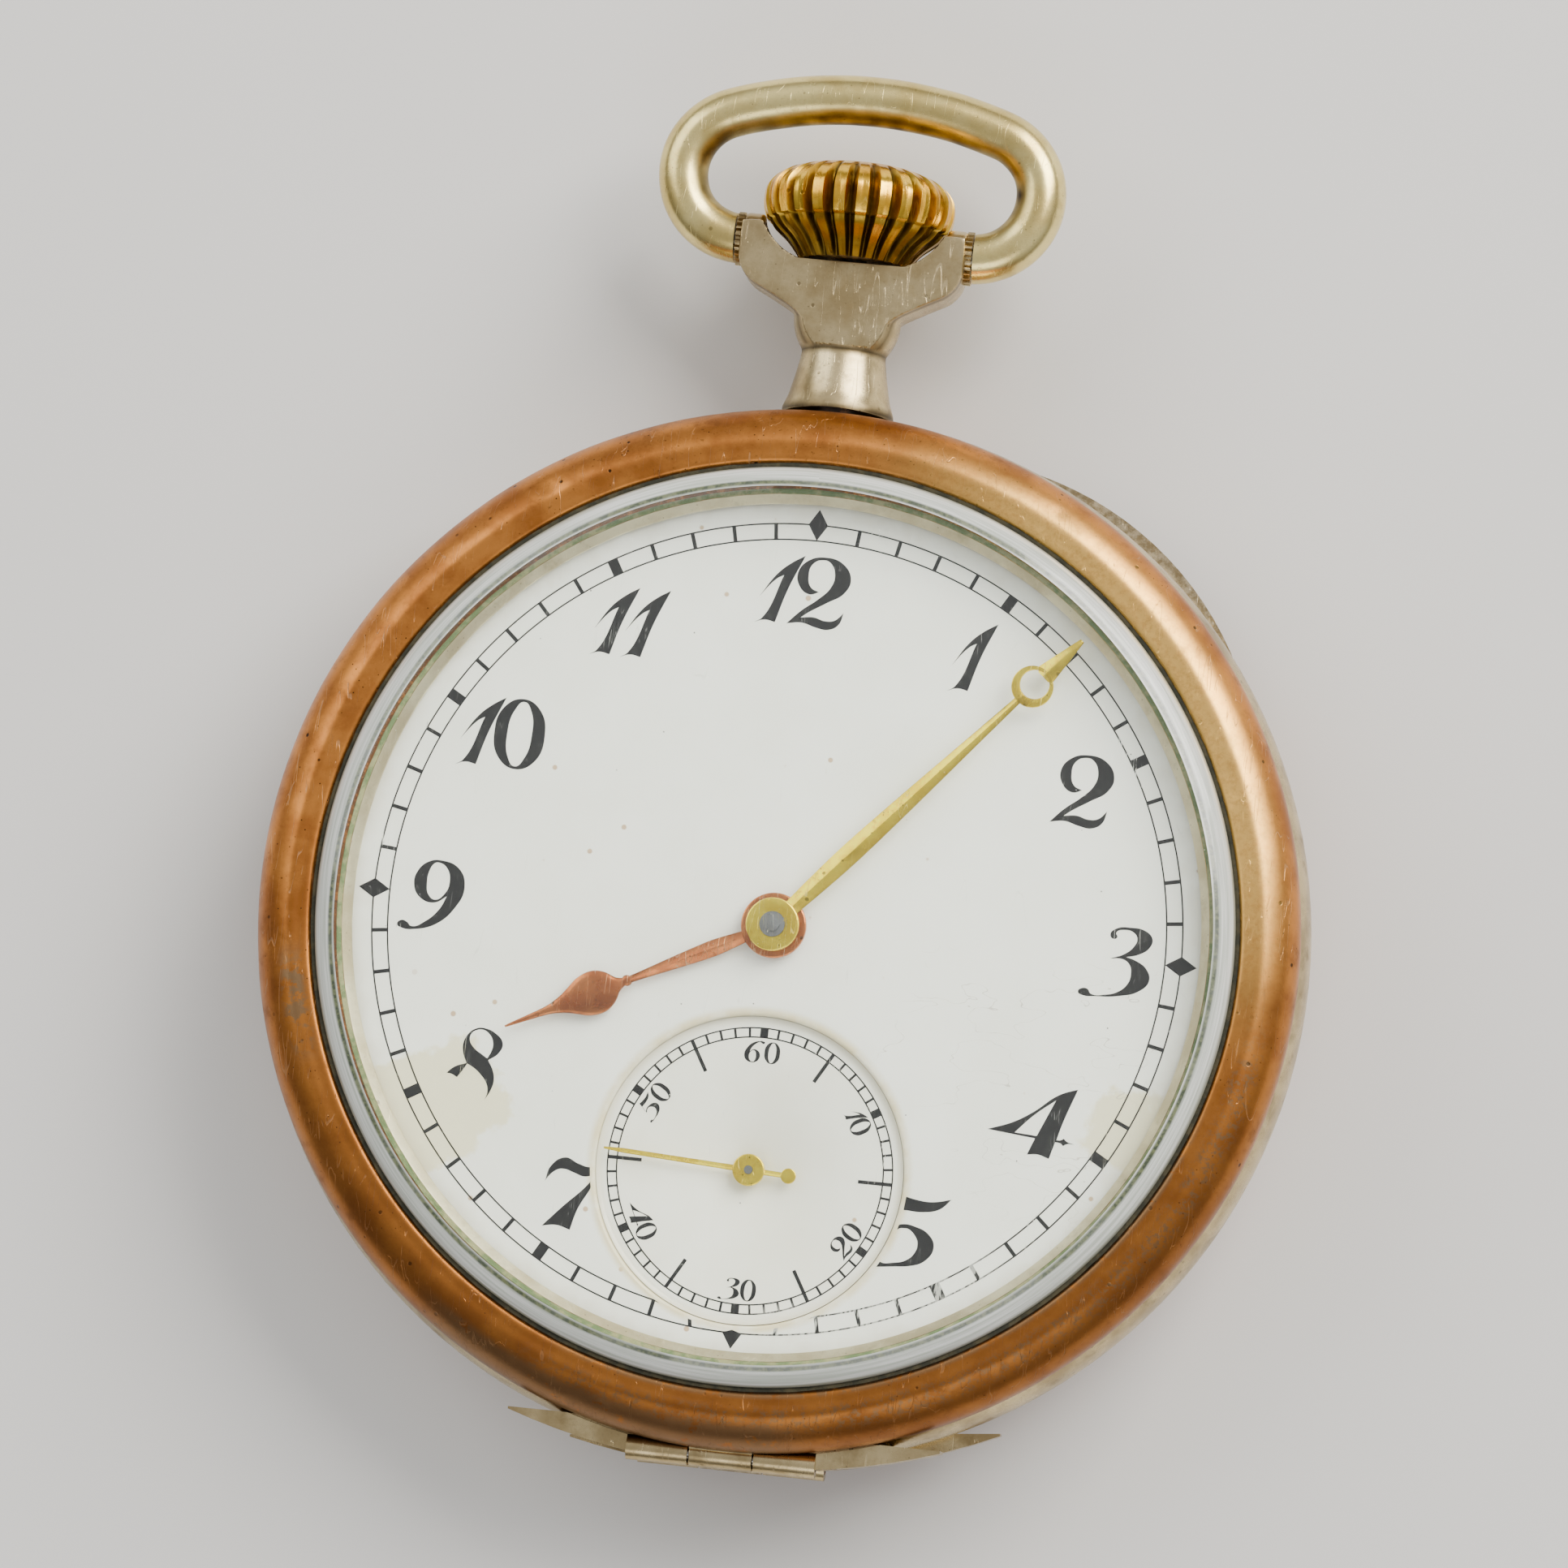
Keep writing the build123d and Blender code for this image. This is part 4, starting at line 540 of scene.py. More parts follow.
def plate_gilt(name, light, dark, stripes=False):
    """Frosted gilt, with faint damascening stripes on the bridges."""
    paint = metal(name, light, dark, (118, 92, 54), rough=(0.34, 0.5), soil=0.4, marks=0.3)
    frost = paint.bump(paint.noise(14.0, 2.0, 0.7), 0.006)
    if stripes:
        waves = paint.add("TexWave", {"Vector": paint.stretched((1, 1, 1), 48.0), "Scale": 0.32,
                                      "Distortion": 0.0}, wave_profile="SAW").outputs["Fac"]
        paint.bump(waves, 0.03, frost)
        gold = paint.colour()
        paint.set("Base Color", paint.mix(paint.ramp(waves, 0.0, 1.0, 0.0, 0.3), gold,
                                          srgb(*dark)))
    return paint.material


def ruby():
    """Red synthetic jewel."""
    paint = Paint("ruby", Roughness=0.06, Specular_IOR_Level=0.7, Coat_Weight=0.6,
                  Transmission_Weight=0.25)
    shade = paint.ramp(paint.noise(2.5, 3.0), 0.3, 0.7)
    paint.set("Base Color", paint.mix(shade, srgb(168, 22, 46), srgb(120, 8, 30)))
    return paint.material


def see_through(name, rough, tint, veil=0.0, veil_colour=(255, 255, 255)):
    """Mineral glass that lets the lamps' light through, with smears, dust and scratches."""
    paint = Paint(name, IOR=1.5, Transmission_Weight=1.0 - veil, Specular_IOR_Level=0.3)
    smear = paint.noise(0.25, 5.0, 0.65, paint.stretched((1.0, 0.5, 1.0), 30.0))
    hairs = paint.total(paint.scratches(0.8, 33.0, 0.002, 1.0, 0.4),
                        paint.scratches(1.0, -47.0, 0.002, 8.0, 0.35))
    dust = paint.specks(2.4, 0.07, 0.12)
    paint.set("Roughness", paint.total(paint.ramp(smear, 0.45, 0.75, rough, rough + 0.03),
                                       paint.times(hairs, 0.25),
                                       paint.times(dust, 0.4)))
    paint.set("Base Color", paint.mix(paint.ramp(smear, 0.3, 0.8, 0.0, veil), srgb(*tint),
                                      srgb(*veil_colour)))
    paint.bump(paint.times(hairs, -1.0), 0.002)
    clear = paint.add("BsdfTransparent", {"Color": srgb(*tint)})
    shadow = paint.add("LightPath").outputs["Is Shadow Ray"]
    both = paint.add("MixShader", {0: shadow, 1: paint.shader.outputs[0], 2: clear.outputs[0]})
    exit_node = paint.tree.nodes["Material Output"]
    paint.tree.links.new(both.outputs[0], exit_node.inputs["Surface"])
    return paint.material


def ground_edge():
    """Bevel of the thick crystal with a painted reflection: silvery white, streaked round the rim,
    green beneath.
    """
    paint = Paint("crystal_edge", Roughness=0.24, Specular_IOR_Level=0.8, Coat_Weight=0.8,
                  Coat_Roughness=0.06, Transmission_Weight=0.15)
    radius, angle = paint.radius(), paint.angle()
    turns = paint.add("CombineXYZ", {0: paint.times(radius, 9.0),
                                     1: paint.times(angle, 0.05)}).outputs[0]
    # Painted reflection: the bevel's bright silvery white, in streaks round the rim.
    reflection_streak = paint.noise(1.0, 3.0, 0.6, turns)
    colour = paint.mix(paint.ramp(reflection_streak, 0.35, 0.65), srgb(236, 238, 232), srgb(196, 202, 190))
    moss = paint.times(paint.attribute("moss"),
                      paint.ramp(paint.noise(0.35, 4.0, 0.6), 0.3, 0.62, 0.85, 1.0))
    green = paint.mix(paint.ramp(paint.noise(3.0, 5.0, 0.7), 0.4, 0.6), srgb(48, 62, 30),
                      srgb(104, 112, 70))
    colour = paint.mix(moss, colour, green)
    rim = paint.ramp(radius, CRYSTAL_RADIUS - 0.16, CRYSTAL_RADIUS - 0.04)
    colour = paint.mix(paint.times(rim, 0.75), colour, srgb(92, 92, 70))
    paint.set("Base Color", colour)
    paint.bump(paint.total(reflection_streak, paint.noise(2.0, 4.0)), 0.02)
    return paint.material


def dirt(name, base, shade):
    """Packed grime and verdigris in the seams."""
    paint = Paint(name, Roughness=0.85)
    paint.set("Base Color", paint.mix(paint.ramp(paint.noise(1.1, 5.0, 0.7), 0.4, 0.62),
                                      srgb(*base), srgb(*shade)))
    paint.bump(paint.noise(5.0, 5.0, 0.7), 0.05)
    return paint.material


def floor_finish():
    """Plain pale studio floor."""
    paint = Paint("floor", Roughness=0.75)
    paint.set("Base Color", paint.mix(paint.noise(0.02, 3.0), srgb(226, 224, 220),
                                      srgb(218, 216, 212)))
    return paint.material


def cover_gold():
    """The back cover: rose gold, worn to the base metal along its rim and lips."""
    paint = metal("cover_gold", *ROSE, rough=(0.26, 0.42), soil=0.6)
    gold = paint.colour()
    cloud = paint.noise(0.9, 5.0, 0.7)
    edge = paint.math("ADD", paint.radius(), paint.times(cloud, 0.5))
    worn = paint.mix(paint.ramp(paint.noise(2.5, 4.0, 0.7), 0.35, 0.65), srgb(206, 190, 156),
                     srgb(150, 132, 98))
    paint.set("Base Color", paint.mix(paint.ramp(edge, 24.85, 25.15), gold, worn))
    return paint.material


NICKEL = ((208, 188, 142), (164, 143, 102), (98, 80, 48))
BRASS = ((222, 188, 116), (190, 150, 82), (126, 94, 50))
STEEL = ((196, 198, 200), (156, 158, 160), (104, 100, 94))
ROSE = ((216, 148, 82), (182, 116, 60), (118, 72, 36))

FINISH = {
    "bezel": bezel_gold(),
    "rose_gold": metal("rose_gold", *ROSE, rough=(0.26, 0.42), soil=0.6).material,
    "cover": cover_gold(),
    "rehaut": metal("rehaut", (222, 214, 186), (190, 178, 146), (150, 140, 108),
                    rough=(0.4, 0.55), soil=0.5).material,
    "nickel_silver": metal("nickel_silver", *NICKEL, grime="grime", shine=0.12).material,
    "bow_nickel": metal("bow_nickel", (242, 222, 150), (212, 188, 116), (138, 114, 60),
                        rough=(0.24, 0.36), grime="grime", tarnish_share=0.25,
                        shine=0.06, marks=0.3).material,
    "gilt_crown": metal("gilt_crown", (255, 208, 74), (226, 166, 44), (124, 82, 26),
                        rough=(0.2, 0.34), scale=0.6, grime="grime", shine=0.1).material,
    "gilt_hand": hand_metal("gilt_hand", (252, 226, 62), (228, 196, 38), (146, 116, 24), 0.5),
    "rose_hand": hand_metal("rose_hand", (206, 128, 74), (172, 96, 52), (96, 56, 34), 0.35),
    "dial": dial_enamel(),
    "seconds": seconds_enamel(),
    "print": ink(),
    "glass": see_through("mineral_glass", 0.0, (250, 252, 248)),
    "glass_edge": ground_edge(),
    "verdigris": dirt("verdigris", (92, 112, 66), (148, 146, 104)),
    "soot": dirt("seam_grime", (38, 38, 24), (66, 60, 38)),
    "plate": plate_gilt("plate_gilt", (222, 192, 130), (194, 160, 98)),
    "bridge": plate_gilt("bridge_gilt", (226, 196, 134), (190, 156, 96), stripes=True),
    "train_brass": metal("train_brass", *BRASS, rough=(0.2, 0.34), soil=0.3, marks=0.4).material,
    "steel": metal("steel", *STEEL, rough=(0.14, 0.28), soil=0.3, marks=0.4).material,
    "brushed_steel": metal("brushed_steel", *STEEL, rough=(0.24, 0.36), grain=0.012,
                           soil=0.3).material,
    "blued_steel": metal("blued_steel", (44, 62, 148), (28, 38, 104), (70, 60, 96),
                         rough=(0.16, 0.26), soil=0.2, marks=0.3).material,
    "ruby": ruby(),
}


# ---- Bezel and crystal ----
KNUCKLE_RADIUS, KNUCKLE_HALF, HINGE_HALF, KNUCKLE_GAP = 0.6, 1.5, 4.58, 0.08
LIP_RADIUS, SEAT_RADIUS = 20.15, CRYSTAL_RADIUS + 0.1
# Dents in the bezel: clockwise angle, radius, width and depth
DENTS = ((327.0, 23.6, 0.5, 0.07), (331.0, 23.1, 0.35, 0.05), (318.0, 24.0, 0.6, 0.05),
         (29.0, 23.8, 0.3, 0.04), (66.0, 22.6, 0.4, 0.03), (262.0, 23.9, 0.7, 0.05),
         (150.0, 23.9, 0.8, 0.05), (197.0, 24.3, 0.9, 0.06), (95.0, 24.2, 0.5, 0.04))


def dented(shape, ripple=0.025):
    """The bezel's hand-worn surface: shallow dents and a slow ripple."""
    points = []
    for x, y, z in shape[0]:
        spot = Vector((x, y, z))
        push = ripple * noise.noise(spot * 0.35)
        for angle, radius, width, depth in DENTS:
            near = (Vector(clock(radius, angle)) - spot.to_2d()).length / width
            push -= depth * math.exp(-near * near)
        outward = Vector((x, y, 0)).normalized() * 0.5 + Vector((0, 0, 0.85))
        on_top = z > BEZEL_LOW + 0.3 and spot.to_2d().length > SEAT_RADIUS + 0.1
        points.append(tuple(spot + outward * push * on_top))
    return points, shape[1]


def clear_of_knuckles(shape, axis):
    """Push points out of the room that the case's fixed knuckles take."""
    points = []
    for x, y, z in shape[0]:
        across = Vector((y - axis.y, z - axis.z))
        room = KNUCKLE_RADIUS + KNUCKLE_GAP
        if KNUCKLE_HALF < abs(x) < HINGE_HALF and across.length < room:
            across = across.normalized() * room
            y, z = axis.y + across.x, axis.z + across.y
        points.append((x, y, z))
    return points, shape[1]


def tube(radius, bore, start, end, segments=32, edge=0.05):
    """Round tube along Z with eased ends, to be laid along another axis."""
    return lathe(rounded([(bore, start, 0), (radius, start, edge), (radius, end, edge),
                          (bore, end, 0)]), segments)


def bezel_section():
    """Section of the bezel: a bold roll outside, the crystal's seat and the lip inside."""
    roll = through([(24.50, BEZEL_LOW), (24.80, BEZEL_LOW + 0.45), (BEZEL_RADIUS, 9.3),
                    (24.74, 9.9), (24.38, 10.5), (23.86, 10.95), (23.2, BEZEL_TOP),
                    (22.6, BEZEL_TOP - 0.02), (22.2, 11.2), (22.02, 11.02)], 5)
    inside = rounded([(SEAT_RADIUS, 10.96, 0.04), (SEAT_RADIUS, CRYSTAL_LOW, 0),
                      (20.56, CRYSTAL_LOW, 0), (21.2, 9.75, 0), (21.7, 9.75, 0),
                      (21.7, BEZEL_LOW, 0.04)])
    return roll + inside


def make_bezel():
    axis = AXIS["bezel_hinge"]
    shell = clear_of_knuckles(dented(lathe(bezel_section(), 540)), axis)
    knuckle = along_x(tube(KNUCKLE_RADIUS, 0.3, -KNUCKLE_HALF, KNUCKLE_HALF), axis.y, axis.z)
    half = KNUCKLE_HALF
    web = prism([(-half, axis.y + 0.2), (half, axis.y + 0.2), (half, -24.0), (-half, -24.0)],
                axis.z + 0.1, axis.z + KNUCKLE_RADIUS)
    piece("bezel_shell", shell, FINISH["bezel"], "bezel", ["bezel"])
    piece("bezel_knuckle", joined(knuckle, web), FINISH["nickel_silver"], "bezel")
    lip = rounded([(LIP_RADIUS, 9.8, 0.04), (21.1, 9.8, 0), (20.75, CRYSTAL_LOW - 0.02, 0),
                   (20.58, CRYSTAL_LOW - 0.02, 0.05), (LIP_RADIUS, 10.02, 0.05)])
    piece("bezel_lip", lathe(lip, 360), FINISH["rehaut"], "bezel")
    seam = [(SEAT_RADIUS - 0.13, 10.9), (SEAT_RADIUS + 0.03, 10.9), (SEAT_RADIUS + 0.1, 11.04),
            (SEAT_RADIUS, 11.06), (SEAT_RADIUS - 0.1, 11.04)]
    piece("bezel_seam_grime", uneven(lathe(seam, 540), 0.03, 1.6), FINISH["soot"], "bezel")
    trace = [(20.56, CRYSTAL_LOW - 0.03), (20.84, CRYSTAL_LOW - 0.03), (20.8, CRYSTAL_LOW + 0.03),
             (20.6, CRYSTAL_LOW + 0.03)]
    piece("crystal_seat_verdigris", uneven(lathe(trace, 540), 0.02, 1.2), FINISH["verdigris"],
          "bezel")


def uneven(shape, depth, scale):
    """Points moved a little by smooth noise, for grime and hand-worked surfaces."""
    points = []
    for point in shape[0]:
        shift = noise.noise_vector(Vector(point) * scale) * depth
        points.append(tuple(Vector(point) + shift))
    return points, shape[1]


def dome_line(edge, top, steps):
    """Points of a dome from its edge to its axis, in radius and height."""
    radius = (edge[0]**2 + (top - edge[1])**2) / (2 * (top - edge[1]))
    return [(edge[0] * (1 - step / steps),
             top - radius + math.sqrt(radius**2 - (edge[0] * (1 - step / steps))**2))
            for step in range(steps + 1)]


def make_crystal():
    """Domed glass, polished over the dial, with a bevel around its rim that carries a painted
    reflection.
    """
    bevel, inner = (20.82, 11.88), (20.84, 11.16)
    outside = dome_line(bevel, CRYSTAL_TOP, 24)
    inside = dome_line(inner, CRYSTAL_TOP - 0.9, 24)[::-1]
    piece("crystal_glass", lathe(outside + inside, 360), FINISH["glass"], "bezel",
          ["crystal"], sharp=50)
    base = CRYSTAL_LOW + 0.02
    shoulder = rounded([(bevel[0] + 0.004, bevel[1] - 0.004, 0), (20.86, 11.2, 0),
                        (20.94, base, 0.05), (CRYSTAL_RADIUS, base, 0.05),
                        (CRYSTAL_RADIUS, 11.08, 0.1)])
    roll = through([(CRYSTAL_RADIUS - 0.03, 11.2), (21.55, 11.48), (21.2, 11.72), (21.1, 11.77),
                    (21.0, 11.81), (20.9, 11.85)], 4)

    def moss(x, y, z):
        """Verdigris along the inner edge of the bevel."""
        return min(1.0, 1.6 * max(0.0, 1 - abs(math.hypot(x, y) - 21.0) / 0.17)) * (z > 11.6)

    piece("crystal_bevel", lathe(shoulder + roll, 540), FINISH["glass_edge"], "bezel",
          sharp=50, paint={"moss": moss})


# ---- Dial ----
SUNK_EDGE = ((0.20, 0.0), (0.13, -0.015), (0.07, -0.05), (0.02, -0.11), (0.0, -0.2))


def make_dial():
    """Domed disc with the sunk seconds dial's rounded opening and a hole for the hands' arbors."""
    spacing, hole, outer = 0.8, 1.2, DIAL_RADIUS - 0.1
    rim = SECONDS_RADIUS + SUNK_EDGE[0][0]
    loops = [arc((0, 0), outer, 0, 360, 240)[:-1], arc(SECONDS_CENTRE, rim, 0, 360, 160)[:-1],
             arc((0, 0), hole, 0, 360, 48)[:-1]]
    flat, edges = [], []
    for loop in loops:
        edges += [(len(flat) + i, len(flat) + (i + 1) % len(loop)) for i in range(len(loop))]
        flat += [Vector(point) for point in loop]
    steps = int(outer / spacing) + 1
    for row in range(-steps, steps + 1):
        for column in range(-steps, steps + 1):
            spot = Vector(((column + 0.5 * (row % 2)) * spacing, row * spacing * 0.866))
            if (hole + 0.4 < spot.length < outer - 0.4
                    and (spot - SECONDS_CENTRE).length > rim + 0.4):
                flat.append(spot)
    points, _, triangles, _, _, _ = delaunay_2d_cdt(flat, edges, [], 0, 1e-6)

    def kept(face):
        middle = sum((points[i] for i in face), Vector((0, 0))) / 3
        return middle.length > hole and (middle - SECONDS_CENTRE).length > rim

    count = len(points)
    top = [(p.x, p.y, dial_height(p.x, p.y)) for p in points]
    bottom = [(p.x, p.y, DIAL_LOW) for p in points]
    up = [tuple(face) for face in triangles if kept(face)]
    down = [tuple(spot + count for spot in face[::-1]) for face in up]
    walls = []
    for start, end in ((0, 240), (400, 448)):
        for spot in range(start, end):
            beside = start + (spot + 1 - start) % (end - start)
            walls.append((spot, beside, beside + count, spot + count))
    lip = [[(*Vector(SECONDS_CENTRE) + Vector(point) * (1 + (inset - SUNK_EDGE[0][0]) / rim), drop)
            for point in arc((0, 0), rim, 0, 360, 160)[:-1]] for inset, drop in SUNK_EDGE]
    lip = [[(x, y, dial_height(x, y) + drop) for x, y, drop in ring] for ring in lip]
    lip.append([(x, y, DIAL_LOW) for x, y, _ in lip[-1]])
    lip.append([(p.x, p.y, DIAL_LOW) for p in points[240:400]])
    shape = joined((top + bottom, up + down + walls), skin(lip))
    piece("enamel_dial", shape, FINISH["dial"], "case", ["dial"], sharp=50)


def make_seconds_dial():
    """Sunk disc with a shallow cove at its edge."""
    edge = SECONDS_RADIUS - 0.02
    section = [(0.5, DIAL_LOW), (edge, DIAL_LOW), (edge, SECONDS_TOP + 0.16)]
    section += through([(edge - 0.06, SECONDS_TOP + 0.1), (edge - 0.2, SECONDS_TOP + 0.03),
                        (edge - 0.42, SECONDS_TOP)], 3)
    section += [(0.55, SECONDS_TOP), (0.5, SECONDS_TOP - 0.03)]
    piece("sunk_seconds_dial", lathe(section, 256, SECONDS_CENTRE), FINISH["seconds"], "case",
          ["seconds_dial"])


# ---- Print on the dials ----
PRINT_DEPTH, PRINT_RISE = 0.02, 0.008
TRACK_INNER, TRACK_OUTER = 18.5, 19.26
SECONDS_TRACK_INNER, SECONDS_TRACK_OUTER = 6.32, 6.76
NUMERAL_HEIGHT, SECONDS_NUMERAL_HEIGHT = 3.38, 1.03
# The figures stand upright, a little off the hours' lines
NUMERAL_PLACES = {12: (-0.35, 16.05), 1: (7.99, 13.64), 2: (13.82, 7.84), 3: (16.2, -0.09),
                  4: (13.06, -7.93), 5: (7.85, -13.65), 7: (-8.2, -13.53), 8: (-13.56, -7.79),
                  9: (-16.45, -0.09), 10: (-13.97, 7.95), 11: (-8.44, 13.78)}

# Outlines of the figures in a unit-high cell. A point is (x, y), and (x, y, 1) at a sharp corner.
NINE = [[(.52, 1), (.80, .90), (.90, .64), (.80, .36), (.55, .10), (.25, 0), (.08, 0), (0, .05),
         (.05, .11), (.14, .09), (.20, .04), (.40, .13), (.58, .32), (.66, .50, 1), (.50, .40),
         (.30, .44), (.18, .62), (.22, .84), (.36, .97)],
        [(.50, .965), (.62, .90), (.68, .70), (.63, .54), (.50, .44), (.40, .50), (.36, .66),
         (.38, .85), (.44, .95)]]
FIGURES = {
    "0": [[(.42, 1), (.68, .86), (.78, .5), (.68, .14), (.42, 0), (.16, .14), (.06, .5), (.16, .86)],
          [(.44, .96), (.55, .84), (.595, .5), (.52, .16), (.40, .04), (.29, .16), (.245, .5),
           (.32, .84)]],
    "1": [[(0, 0, 1), (.14, .045), (.285, .02, 1), (.42, .5), (.62, 1, 1), (.42, .87), (.25, .71),
           (.03, .37, 1), (.25, .64), (.345, .70, 1), (.10, .07)]],
    "2": [[(.01, .02, 1), (.20, .22), (.42, .40), (.58, .58), (.62, .76), (.54, .93), (.44, .96),
           (.30, .90), (.25, .72), (.30, .56), (.42, .50, 1), (.28, .46), (.13, .58), (.10, .76),
           (.22, .93), (.45, 1), (.72, .93), (.85, .72), (.78, .52), (.55, .36), (.30, .20),
           (.20, .12, 1), (.38, .14), (.55, .10), (.68, .12), (.80, .24, 1), (.74, .06),
           (.60, -.02), (.42, 0), (.22, .05)]],
    "3": [[(.06, 0), (.25, 0), (.55, .03), (.85, .13), (.97, .28), (.92, .44), (.75, .55),
           (.62, .585, 1), (.78, .63), (.93, .74), (.96, .87), (.86, .97), (.64, 1), (.45, .97),
           (.37, .88), (.42, .82), (.47, .85), (.45, .91), (.56, .96), (.70, .93), (.75, .85),
           (.72, .75), (.60, .63), (.40, .545, 1), (.58, .55), (.68, .48), (.71, .36), (.68, .22),
           (.55, .09), (.38, .035), (.18, .03), (.13, .09), (.04, .09), (0, .04)]],
    "4": [[(0, .33, 1), (.34, .46), (.60, .62), (.95, .90), (1.20, 1, 1), (1.03, .5), (.97, .27, 1),
           (1.03, .275), (1.07, .30, 1), (1.11, .265), (1.22, .235, 1), (1.11, .225), (1.07, .195, 1),
           (1.03, .23), (.955, .24, 1), (.89, 0, 1), (.73, .045), (.58, .03, 1), (.67, .265, 1),
           (.36, .295)],
          [(.38, .32, 1), (.69, .30, 1), (.91, .82, 1), (.62, .58)]],
    "5": [[(.40, .98, 1), (.60, .94), (.80, .93), (1.07, .99, 1), (.92, .84), (.70, .78),
           (.36, .79, 1), (.28, .52, 1), (.42, .585), (.60, .57), (.80, .48), (.89, .32), (.80, .12),
           (.55, .01), (.30, 0), (.08, 0), (0, .05), (.05, .10), (.13, .09), (.17, .035), (.35, .04),
           (.52, .09), (.63, .20), (.66, .33), (.60, .46), (.48, .535), (.33, .50), (.25, .45, 1)]],
    "6": [[(.90 - x, 1 - y, *corner) for x, y, *corner in loop] for loop in NINE],
    "7": [[(0, .65, 1), (.06, .86), (.25, 1), (.45, .93), (.62, .90), (.82, 1, 1), (.66, .62),
           (.50, .3), (.42, 0, 1), (.22, .05), (.02, .02, 1), (.30, .33), (.58, .62), (.72, .82, 1),
           (.55, .76), (.40, .80), (.22, .84), (.10, .78)]],
    "8": [[(.46, .99), (.67, .92), (.77, .80), (.73, .66), (.59, .545, 1), (.67, .41), (.70, .26),
           (.67, .13), (.60, -.01, 1), (.627, .11), (.594, .23), (.505, .336), (.415, .41),
           (.30, .47, 1), (.25, .38), (.176, .267, 1), (.10, .303), (.02, .315, 1), (.116, .404),
           (.287, .478, 1), (.227, .62), (.215, .754), (.28, .90), (.37, .97)],
          [(.46, .966), (.564, .918), (.633, .80), (.624, .68), (.574, .57, 1), (.49, .62),
           (.37, .70), (.30, .81), (.325, .91), (.385, .95)]],
    "9": NINE,
}
FIGURE_STEP = {"1": 0.44, "2": 0.86, "3": 0.96, "4": 1.1, "5": 0.98, "6": 0.86}


def lettered(text, height, middle, turn=0.0):
    """Loops of a number's figures, its box centred on a place and turned clockwise."""
    loops, x = [], 0.0
    for figure in text:
        loops += [[(px + x, py, *corner) for px, py, *corner in loop] for loop in FIGURES[figure]]
        x += FIGURE_STEP.get(figure, 0.8)
    xs = [point[0] for loop in loops for point in loop]
    across, angle = (min(xs) + max(xs)) / 2, math.radians(-turn)
    c, s = math.cos(angle) * height, math.sin(angle) * height
    return [[(middle[0] + c * (px - across) - s * (py - 0.5),
              middle[1] + s * (px - across) + c * (py - 0.5), *corner)
             for px, py, *corner in loop] for loop in loops]


def filled(loops):
    """Flat faces inside the loops, through smooth or sharp Bezier points."""
    curve = bpy.data.curves.new("outline", "CURVE")
    curve.dimensions, curve.fill_mode, curve.resolution_u = "2D", "BOTH", 10
    for loop in loops:
        spline = curve.splines.new("BEZIER")
        spline.use_cyclic_u = True
        spline.bezier_points.add(len(loop) - 1)
        for bezier, (x, y, *corner) in zip(spline.bezier_points, loop):
            bezier.co = (x, y, 0)
            kind = "VECTOR" if corner else "AUTO"
            bezier.handle_left_type = bezier.handle_right_type = kind
    scratch = bpy.data.objects.new("outline", curve)
    bpy.context.scene.collection.objects.link(scratch)
    return baked(scratch)


def strip(inner, outer, centre=(0.0, 0.0), steps=360):
    """Thin printed circle."""
    rings = [[(x, y, 0.0) for x, y in arc(centre, radius, 0, 360, steps)[:-1]]
             for radius in (inner, outer)]
    return skin(rings)


def mark(angle, start, end, width, centre=(0.0, 0.0)):
    """Printed bar along a radius."""
    out = Vector(clock(1.0, angle))
    side = Vector((out.y, -out.x)) * width / 2
    middle = Vector(centre)
    corners = [middle + out * start - side, middle + out * start + side,
               middle + out * end + side, middle + out * end - side]
    return [(x, y, 0.0) for x, y in corners], [(0, 1, 2, 3)]


def diamond(angle):
    """Lozenge on the outer circle of the minute track."""
    out = Vector(clock(1.0, angle))
    side = Vector((out.y, -out.x)) * 0.465
    corners = [out * (TRACK_OUTER - 0.75), out * TRACK_OUTER + side, out * (TRACK_OUTER + 0.75),
               out * TRACK_OUTER - side]
    return [(x, y, 0.0) for x, y in corners], [(0, 1, 2, 3)]


def printed(name, shape, surface, keep_out=None):
    """Thin raised print on a dial's surface. Print on the main dial stops at the sunk edge."""
    mesh = bpy.data.meshes.new(name)
    mesh.from_pydata(shape[0], [], shape[1])
    work = bmesh.new()
    work.from_mesh(mesh)
    bmesh.ops.remove_doubles(work, verts=work.verts, dist=1e-4)
    if keep_out:
        centre, radius = keep_out
        inside = {v for v in work.verts if (v.co.to_2d() - centre).length < radius}
        lost = [f for f in work.faces if all(v in inside for v in f.verts)]
        for v in inside:
            v.co = (*(centre + (v.co.to_2d() - centre).normalized() * radius), 0.0)
        bmesh.ops.delete(work, geom=lost, context="FACES")
    for v in work.verts:
        v.co.z = surface(v.co.x, v.co.y) + PRINT_RISE
    sheet = bmesh.ops.extrude_face_region(work, geom=work.faces[:], use_keep_orig=True)
    for item in sheet["geom"]:
        if isinstance(item, bmesh.types.BMVert):
            item.co.z -= PRINT_DEPTH
    work.to_mesh(mesh)
    work.free()
    solid = [tuple(v.co) for v in mesh.vertices], [tuple(p.vertices) for p in mesh.polygons]
    piece(name, solid, FINISH["print"], "case")


